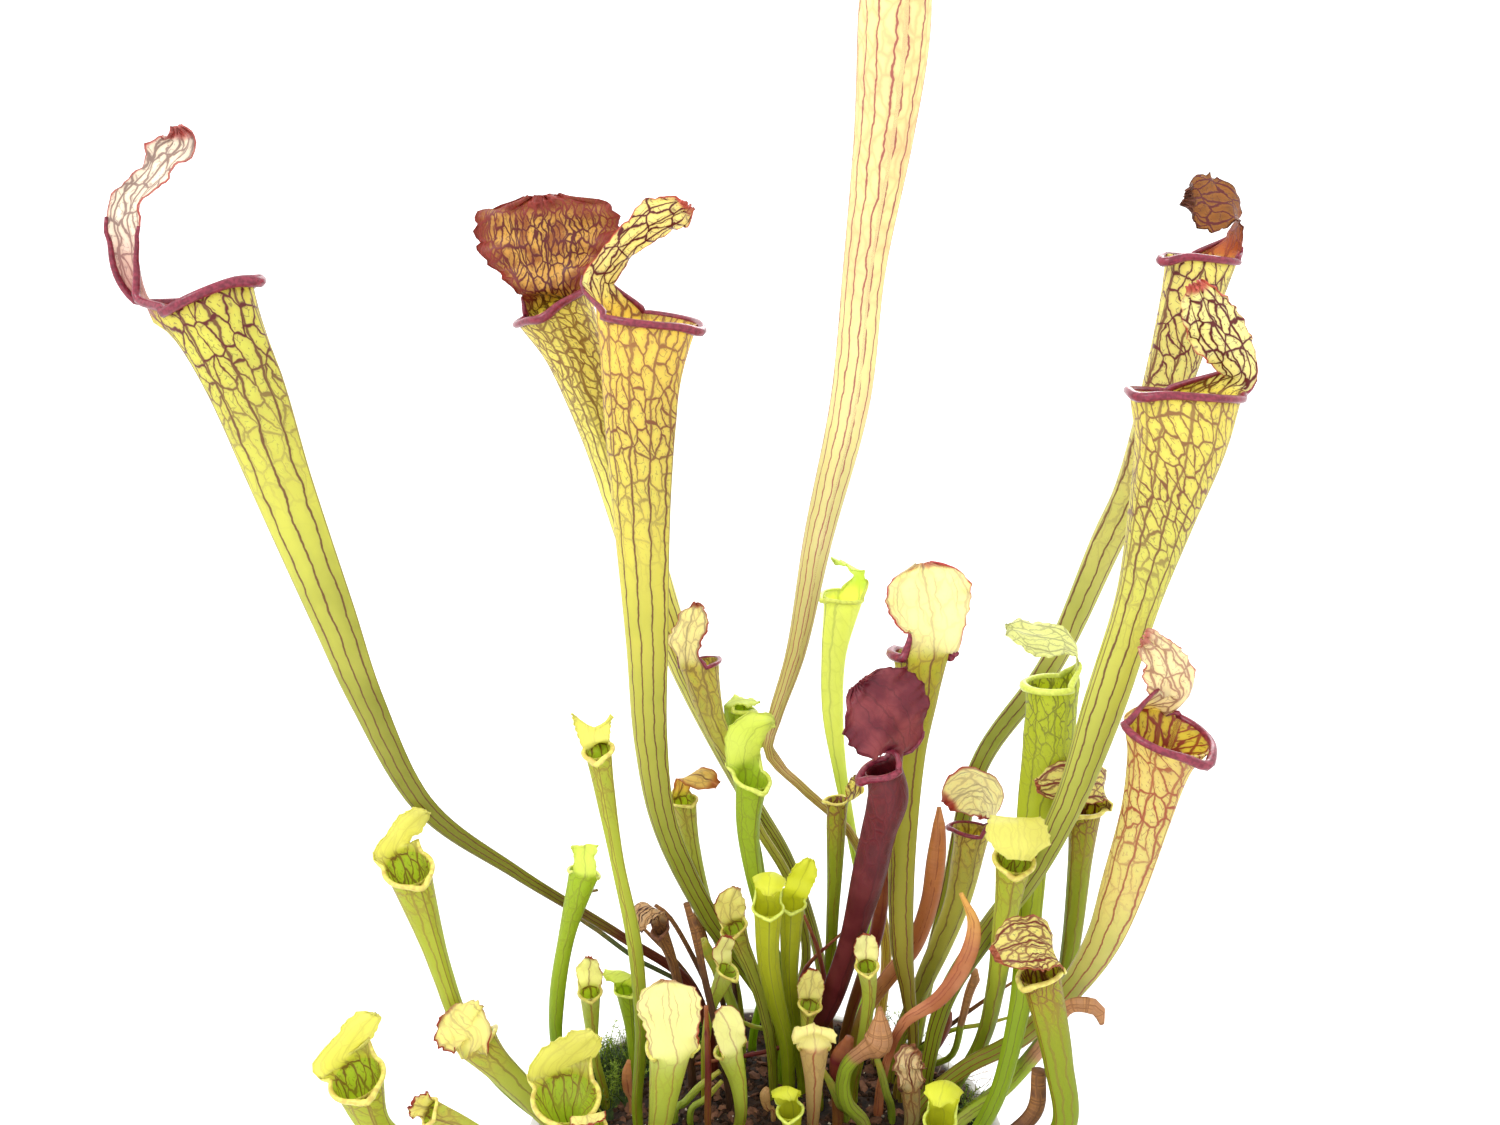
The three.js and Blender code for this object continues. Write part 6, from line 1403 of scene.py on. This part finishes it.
# Scatters a small shape over a host with Geometry Nodes. Each copy keeps a random tone from 0 to 1
def makeScatterTree():
    tree = bpy.data.node_groups.new("scatter", "GeometryNodeTree")
    tree.interface.new_socket("Geometry", in_out="OUTPUT", socket_type="NodeSocketGeometry")
    kinds = {"Geometry": "Geometry", "Shape": "Object", "Density": "Float", "Seed": "Int",
             "Smallest": "Float", "Largest": "Float", "Tilt": "Float", "Material": "Material"}
    names = {}
    for label, kind in kinds.items():
        made = tree.interface.new_socket(label, in_out="INPUT", socket_type="NodeSocket" + kind)
        names[label] = made.identifier
    given = tree.nodes.new("NodeGroupInput").outputs
    spread = addNode(tree, "GeometryNodeDistributePointsOnFaces",
                     {"Mesh": given["Geometry"], "Density": given["Density"], "Seed": given["Seed"]})
    shape = addNode(tree, "GeometryNodeObjectInfo", {"Object": given["Shape"]})
    size = addNode(tree, "FunctionNodeRandomValue",
                   {2: given["Smallest"], 3: given["Largest"], "Seed": given["Seed"]}).outputs[1]
    back = maths(tree, "MULTIPLY", given["Tilt"], -1.0)
    lowTurn = addNode(tree, "ShaderNodeCombineXYZ", {0: back, 1: back, 2: 0.0}).outputs[0]
    highTurn = addNode(tree, "ShaderNodeCombineXYZ",
                       {0: given["Tilt"], 1: given["Tilt"], 2: 6.28}).outputs[0]
    turn = addNode(tree, "FunctionNodeRandomValue", {0: lowTurn, 1: highTurn, "Seed": given["Seed"]},
                   data_type="FLOAT_VECTOR").outputs[0]
    copies = addNode(tree, "GeometryNodeInstanceOnPoints",
                     {"Points": spread.outputs[0], "Instance": shape.outputs["Geometry"], "Scale": size,
                      "Rotation": turn}).outputs[0]
    tone = addNode(tree, "FunctionNodeRandomValue", {2: 0.0, 3: 1.0, "Seed": 7}).outputs[1]
    toned = addNode(tree, "GeometryNodeStoreNamedAttribute",
                    {"Geometry": copies, "Name": "tone", "Value": tone},
                    domain="INSTANCE", data_type="FLOAT").outputs[0]
    real = addNode(tree, "GeometryNodeRealizeInstances", {"Geometry": toned}).outputs[0]
    done = addNode(tree, "GeometryNodeSetMaterial",
                   {"Geometry": real, "Material": given["Material"]}).outputs[0]
    tree.links.new(done, tree.nodes.new("NodeGroupOutput").inputs[0])
    return tree, names


scatterTree, scatterInputs = makeScatterTree()


# how holds the density for a square millimetre, the seed, the smallest and largest size and the tilt
def scatter(name, host, shape, material, how):
    density, seed, smallest, largest, tilt = how
    modifier = host.modifiers.new("scatter", "NODES")
    modifier.node_group = scatterTree
    values = {"Shape": shape, "Density": density * 1e6, "Seed": seed, "Smallest": smallest,
              "Largest": largest, "Tilt": tilt, "Material": material}
    for label, value in values.items():
        modifier[scatterInputs[label]] = value
    piece = bakedPiece(name, host)
    host.modifiers.remove(modifier)
    addExtra(piece)
    print(name, len(piece.data.polygons), "faces")


# A lump with a few faces, squashed to each direction's share
def chip(name, sizes, material, seed):
    chance = np.random.default_rng(seed)
    shell = bmesh.new()
    bmesh.ops.create_icosphere(shell, subdivisions=1, radius=0.001)
    for corner in shell.verts:
        corner.co = Vector(size * share for size, share in zip(sizes, corner.co)) * chance.uniform(0.7, 1.1)
    mesh = bpy.data.meshes.new(name)
    shell.to_mesh(mesh)
    shell.free()
    mesh.materials.append(material)
    return linked(name, mesh)


# One arching moss strand with pairs of pointed leaflets, 46 faces
strand = {"steps": 5, "sides": 3, "pairs": 4, "high": 7, "radius": 0.19, "leaflet": 1.5,
          "leafletWide": 0.22, "firstPair": 0.28, "pairSpan": 0.62}


def mossStrand(name, lean, curl, material):
    steps, sides = strand["steps"], strand["sides"]
    t = np.linspace(0, 1, steps)
    rise = strand["high"] * np.sin(curl * t) / max(math.sin(curl), 0.7)
    path = np.stack([lean * t ** 1.5, 0.5 * np.sin(3 * t), rise], 1)
    rings = cordGrid(path, strand["radius"] * (1 - 0.75 * t), sides)
    points = [tuple(point) for ring in rings for point in ring]
    faces = []
    for step in range(steps - 1):
        for side in range(sides):
            a, b = step * sides + side, step * sides + (side + 1) % sides
            faces.append((a, b, b + sides, a + sides))
    faces.append((2, 1, 0))
    faces.append(tuple(range((steps - 1) * sides, steps * sides)))
    for pair in range(strand["pairs"]):
        place = strand["firstPair"] + strand["pairSpan"] * pair / (strand["pairs"] - 1)
        base = np.array([np.interp(place, t, path[:, axis]) for axis in range(3)])
        for way in (-1, 1):
            out = np.array([0.35 * (way + 1) - 0.2, way, 0.45])
            tip = base + out * strand["leaflet"] * (1.15 - 0.6 * place)
            side = np.cross(out, [0, 0, 1])
            side = side / np.linalg.norm(side) * strand["leafletWide"]
            start = len(points)
            points.extend([tuple(base - side), tuple(base + side), tuple(base + [0, 0, 0.2]), tuple(tip)])
            faces.extend([(start, start + 1, start + 2), (start + 1, start, start + 3),
                          (start + 2, start + 1, start + 3), (start, start + 2, start + 3)])
    return plainPiece(name, points, faces, material)


# Pads of moss on the mix. The first takes the place of the CAD's mat, the rest lie by the rim
mossPads = [
    {"x": -2, "y": -34, "wide": 37, "deep": 15, "turn": 0, "high": 3.2},
    {"x": -53, "y": 30, "wide": 27, "deep": 13, "turn": 60, "high": 3.5},
    {"x": -30, "y": 57, "wide": 19, "deep": 9, "turn": 28, "high": 3},
    {"x": 48, "y": 45, "wide": 16, "deep": 8, "turn": -46, "high": 3.5},
    {"x": 15, "y": 64, "wide": 12, "deep": 6, "turn": -13, "high": 2.5},
    {"x": 64, "y": 8, "wide": 11, "deep": 6, "turn": 98, "high": 2.5},
    {"x": -60, "y": -22, "wide": 16, "deep": 8, "turn": 110, "high": 3},
]
padCut = {"rings": 12, "sides": 56, "rimReach": 75.5, "below": -2.5, "edgeBelow": -0.8, "overRim": 0.4}


# Makes a pad and its top alone, for strands to be scattered over
def mossPad(name, pad, material):
    angle = 2 * np.pi * np.arange(padCut["sides"]) / padCut["sides"]
    turn = math.radians(pad["turn"])
    rows = []
    for share in np.concatenate([[1.0], np.linspace(1, 0.04, padCut["rings"])]):
        row = []
        for a in angle:
            wobble = 1 + 0.14 * math.sin(3 * a + pad["x"]) + 0.08 * math.sin(7 * a)
            across = pad["wide"] * share * wobble * math.cos(a)
            away = pad["deep"] * share * wobble * math.sin(a)
            x = pad["x"] + across * math.cos(turn) - away * math.sin(turn)
            y = pad["y"] + across * math.sin(turn) + away * math.cos(turn)
            far = math.hypot(x, y) / padCut["rimReach"]
            if far > 1:
                x, y = x / far, y / far
            onRim = math.hypot(x, y) > potInside(pot["height"]) - 1
            lump = 1 + 0.45 * noise.noise(Vector((x, y, 0)) * 0.3)
            lift = pad["high"] * (1 - share ** 2.5) * lump + padCut["edgeBelow"]
            level = pot["height"] + padCut["overRim"] if onRim else heapedTop(x, y)
            row.append([x, y, level + (lift if rows else padCut["below"])])
        rows.append(row)
    grid = np.array(rows)
    return closedTurning(name, grid, material), openTurning(name + "_host", grid[3:], material)


# Loose bits and moss are coloured by the tone of each copy
def toneMaterial(name, dark, pale, roughness, through=0.0):
    material, tree = newMaterial(name)
    tone = addNode(tree, "ShaderNodeAttribute", attribute_name="tone").outputs["Fac"]
    place = addNode(tree, "ShaderNodeTexCoord").outputs["Object"]
    grain = grainAt(tree, place, 900.0, 3.0).outputs[0]
    share = maths(tree, "ADD", maths(tree, "MULTIPLY", tone, 0.7), ramp(tree, grain, 0.35, 0.65, 0, 0.3))
    base = blendColours(tree, share, dark, pale)
    bump = addNode(tree, "ShaderNodeBump", {"Strength": 0.5, "Distance": 0.0002, "Height": grain})
    shader = addNode(tree, "ShaderNodeBsdfPrincipled",
                     {"Base Color": base, "Roughness": roughness, "Normal": bump.outputs[0],
                      "Specular IOR Level": 0.25}).outputs[0]
    if through:
        glow = addNode(tree, "ShaderNodeBsdfTranslucent", {"Color": base}).outputs[0]
        shader = addNode(tree, "ShaderNodeMixShader", {0: through, 1: shader, 2: glow}).outputs[0]
    addNode(tree, "ShaderNodeOutputMaterial", {0: shader})
    return material


makePot(solidMaterial("pot_plastic", (0.45, 0.44, 0.41), (0.445, 0.435, 0.405), 0.42, 60.0, 0.00005))
print("pot made")

mixHost = makeGround(solidMaterial("mix_dark", (0.045, 0.022, 0.013), (0.01, 0.006, 0.004),
                                   0.95, 300.0, 0.002))

# The loose bits of the mix: a chip's size and seed, its colours and roughness, and how it is scattered
looseBits = {
    "mix_crumbs": {"sizes": (1.1, 0.9, 0.8), "seed": 1, "dark": (0.01, 0.006, 0.003),
                   "pale": (0.08, 0.035, 0.018), "roughness": 0.95, "how": (0.22, 3, 0.5, 1.5, 3.0)},
    "mix_bark": {"sizes": (3.4, 2.0, 0.7), "seed": 2, "dark": (0.05, 0.017, 0.009),
                 "pale": (0.26, 0.12, 0.065), "roughness": 0.8, "how": (0.022, 5, 0.5, 1.5, 0.7)},
    "mix_grit": {"sizes": (0.8, 0.7, 0.6), "seed": 3, "dark": (0.25, 0.2, 0.13),
                 "pale": (0.72, 0.66, 0.52), "roughness": 0.85, "how": (0.018, 8, 0.4, 1.3, 3.0)},
}
for label, bit in looseBits.items():
    bitMaterial = toneMaterial(label, bit["dark"], bit["pale"], bit["roughness"])
    bitShape = chip(label + "_chip", bit["sizes"], bitMaterial, bit["seed"])
    scatter(label, mixHost, bitShape, bitMaterial, bit["how"])
    discard(bitShape)
discard(mixHost)
print("mix made")

mossMaterial = toneMaterial("moss_strands", (0.035, 0.08, 0.004), (0.36, 0.5, 0.05), 0.7, 0.2)
padMaterial = solidMaterial("moss_pad", (0.04, 0.07, 0.008), (0.012, 0.022, 0.003), 0.9, 500.0, 0.001)
upright = mossStrand("strand_upright", 2.5, 1.5, mossMaterial)
arching = mossStrand("strand_arching", 6.5, 2.5, mossMaterial)
for number, pad in enumerate(mossPads):
    label = "look_moss" if number == 0 else f"moss_back_{number}"
    piece, host = mossPad(label, pad, padMaterial)
    if number == 0:
        addPiece(piece, "moss_front")
    else:
        addExtra(piece)
    scatter(f"{label}_upright", host, upright, mossMaterial, (0.17, 11 + number, 0.6, 1.2, 0.5))
    scatter(f"{label}_arching", host, arching, mossMaterial, (0.13, 31 + number, 0.6, 1.2, 0.5))
    discard(host)
discard(upright, arching)
print("moss made")

# Fine dry roots that lie on the mix by the right of the rim
rootHairs = {"x": 64, "y": 22, "count": 16, "radius": 0.13, "spread": 9, "length": 13, "seed": 4,
             "rows": 12, "sides": 5, "curl": 4, "arch": 1.5}


def makeRootHairs(material):
    chance = np.random.default_rng(rootHairs["seed"])
    sheets = Sheets()
    t = np.linspace(0, 1, rootHairs["rows"])[:, None]
    for _ in range(rootHairs["count"]):
        x, y = np.array([rootHairs["x"], rootHairs["y"]]) + chance.uniform(-1, 1, 2) * rootHairs["spread"]
        base = np.array([x, y, heapedTop(x, y) - 0.5])
        along = np.array([*chance.uniform(-1, 1, 2), 0.5]) * rootHairs["length"]
        curl = chance.uniform(-1, 1, (2, 3)) * rootHairs["curl"]
        path = base + along * t + curl[0] * np.sin(3 * t) + curl[1] * np.sin(6 * t)
        path[:, 2] = np.maximum(path[:, 2], base[2]) + rootHairs["arch"] * np.sin(3.1 * t[:, 0])
        radius = rootHairs["radius"] * (1.2 - t[:, 0])
        addCord(sheets, path, radius, np.zeros((len(path), 2)), 0, rootHairs["sides"])
    addExtra(sheets.build("root_hairs", [material]))


makeRootHairs(solidMaterial("roots_dry", (0.5, 0.42, 0.32), (0.3, 0.22, 0.15), 0.8, 500.0, 0.0001))
print("roots made")

# A white room: a bright world, a floor, and soft lamps on the left and behind. Lengths are in metres
room = {"floorHalf": 6.0, "floorTone": 0.9, "floorRough": 0.9, "worldLight": 1.7, "aim": (0, 0, 0.3)}
lamps = {
    "lamp_left": {"place": (-0.9, -0.6, 1.3), "size": 0.5, "power": 7},
    "lamp_back": {"place": (0.5, 1.2, 1.1), "size": 0.9, "power": 9},
}


def makeFloor():
    half, tone = room["floorHalf"], room["floorTone"]
    mesh = bpy.data.meshes.new("floor")
    mesh.from_pydata([(-half, -half, 0), (half, -half, 0), (half, half, 0), (-half, half, 0)], [],
                     [(0, 1, 2, 3)])
    material = bpy.data.materials.new("floor_white")
    material.use_nodes = True
    shader = material.node_tree.nodes["Principled BSDF"].inputs
    shader["Base Color"].default_value = (tone, tone, tone, 1)
    shader["Roughness"].default_value = room["floorRough"]
    mesh.materials.append(material)
    linked("floor", mesh)


def makeWorld():
    world = bpy.data.worlds.new("white")
    world.use_nodes = True
    light = world.node_tree.nodes["Background"].inputs
    light["Color"].default_value = (1, 1, 1, 1)
    light["Strength"].default_value = room["worldLight"]
    bpy.context.scene.world = world


def makeLamp(name, lamp):
    data = bpy.data.lights.new(name, "AREA")
    data.shape = "DISK"
    data.size = lamp["size"]
    data.energy = lamp["power"]
    thing = linked(name, data)
    thing.location = lamp["place"]
    direction = np.array(room["aim"]) - np.array(lamp["place"])
    thing.rotation_euler = Vector(direction).to_track_quat("-Z", "Y").to_euler()


def makeCamera():
    camera = bpy.data.cameras.new("camera")
    camera.lens = eye["sensor"] * eye["focal"] / eye["pictureWide"]
    camera.sensor_width = eye["sensor"]
    camera.clip_start = eye["clipStart"]
    viewer = linked("camera", camera)
    viewer.location = (eye["x"] / 1000, eye["y"] / 1000, eye["z"] / 1000)
    viewer.rotation_euler = (math.pi / 2 - eye["pitch"], 0, 0)
    bpy.context.scene.camera = viewer


makeFloor()
makeWorld()
for name, lamp in lamps.items():
    makeLamp(name, lamp)
makeCamera()
bpy.context.scene.view_settings.view_transform = "Standard"
print("room made")
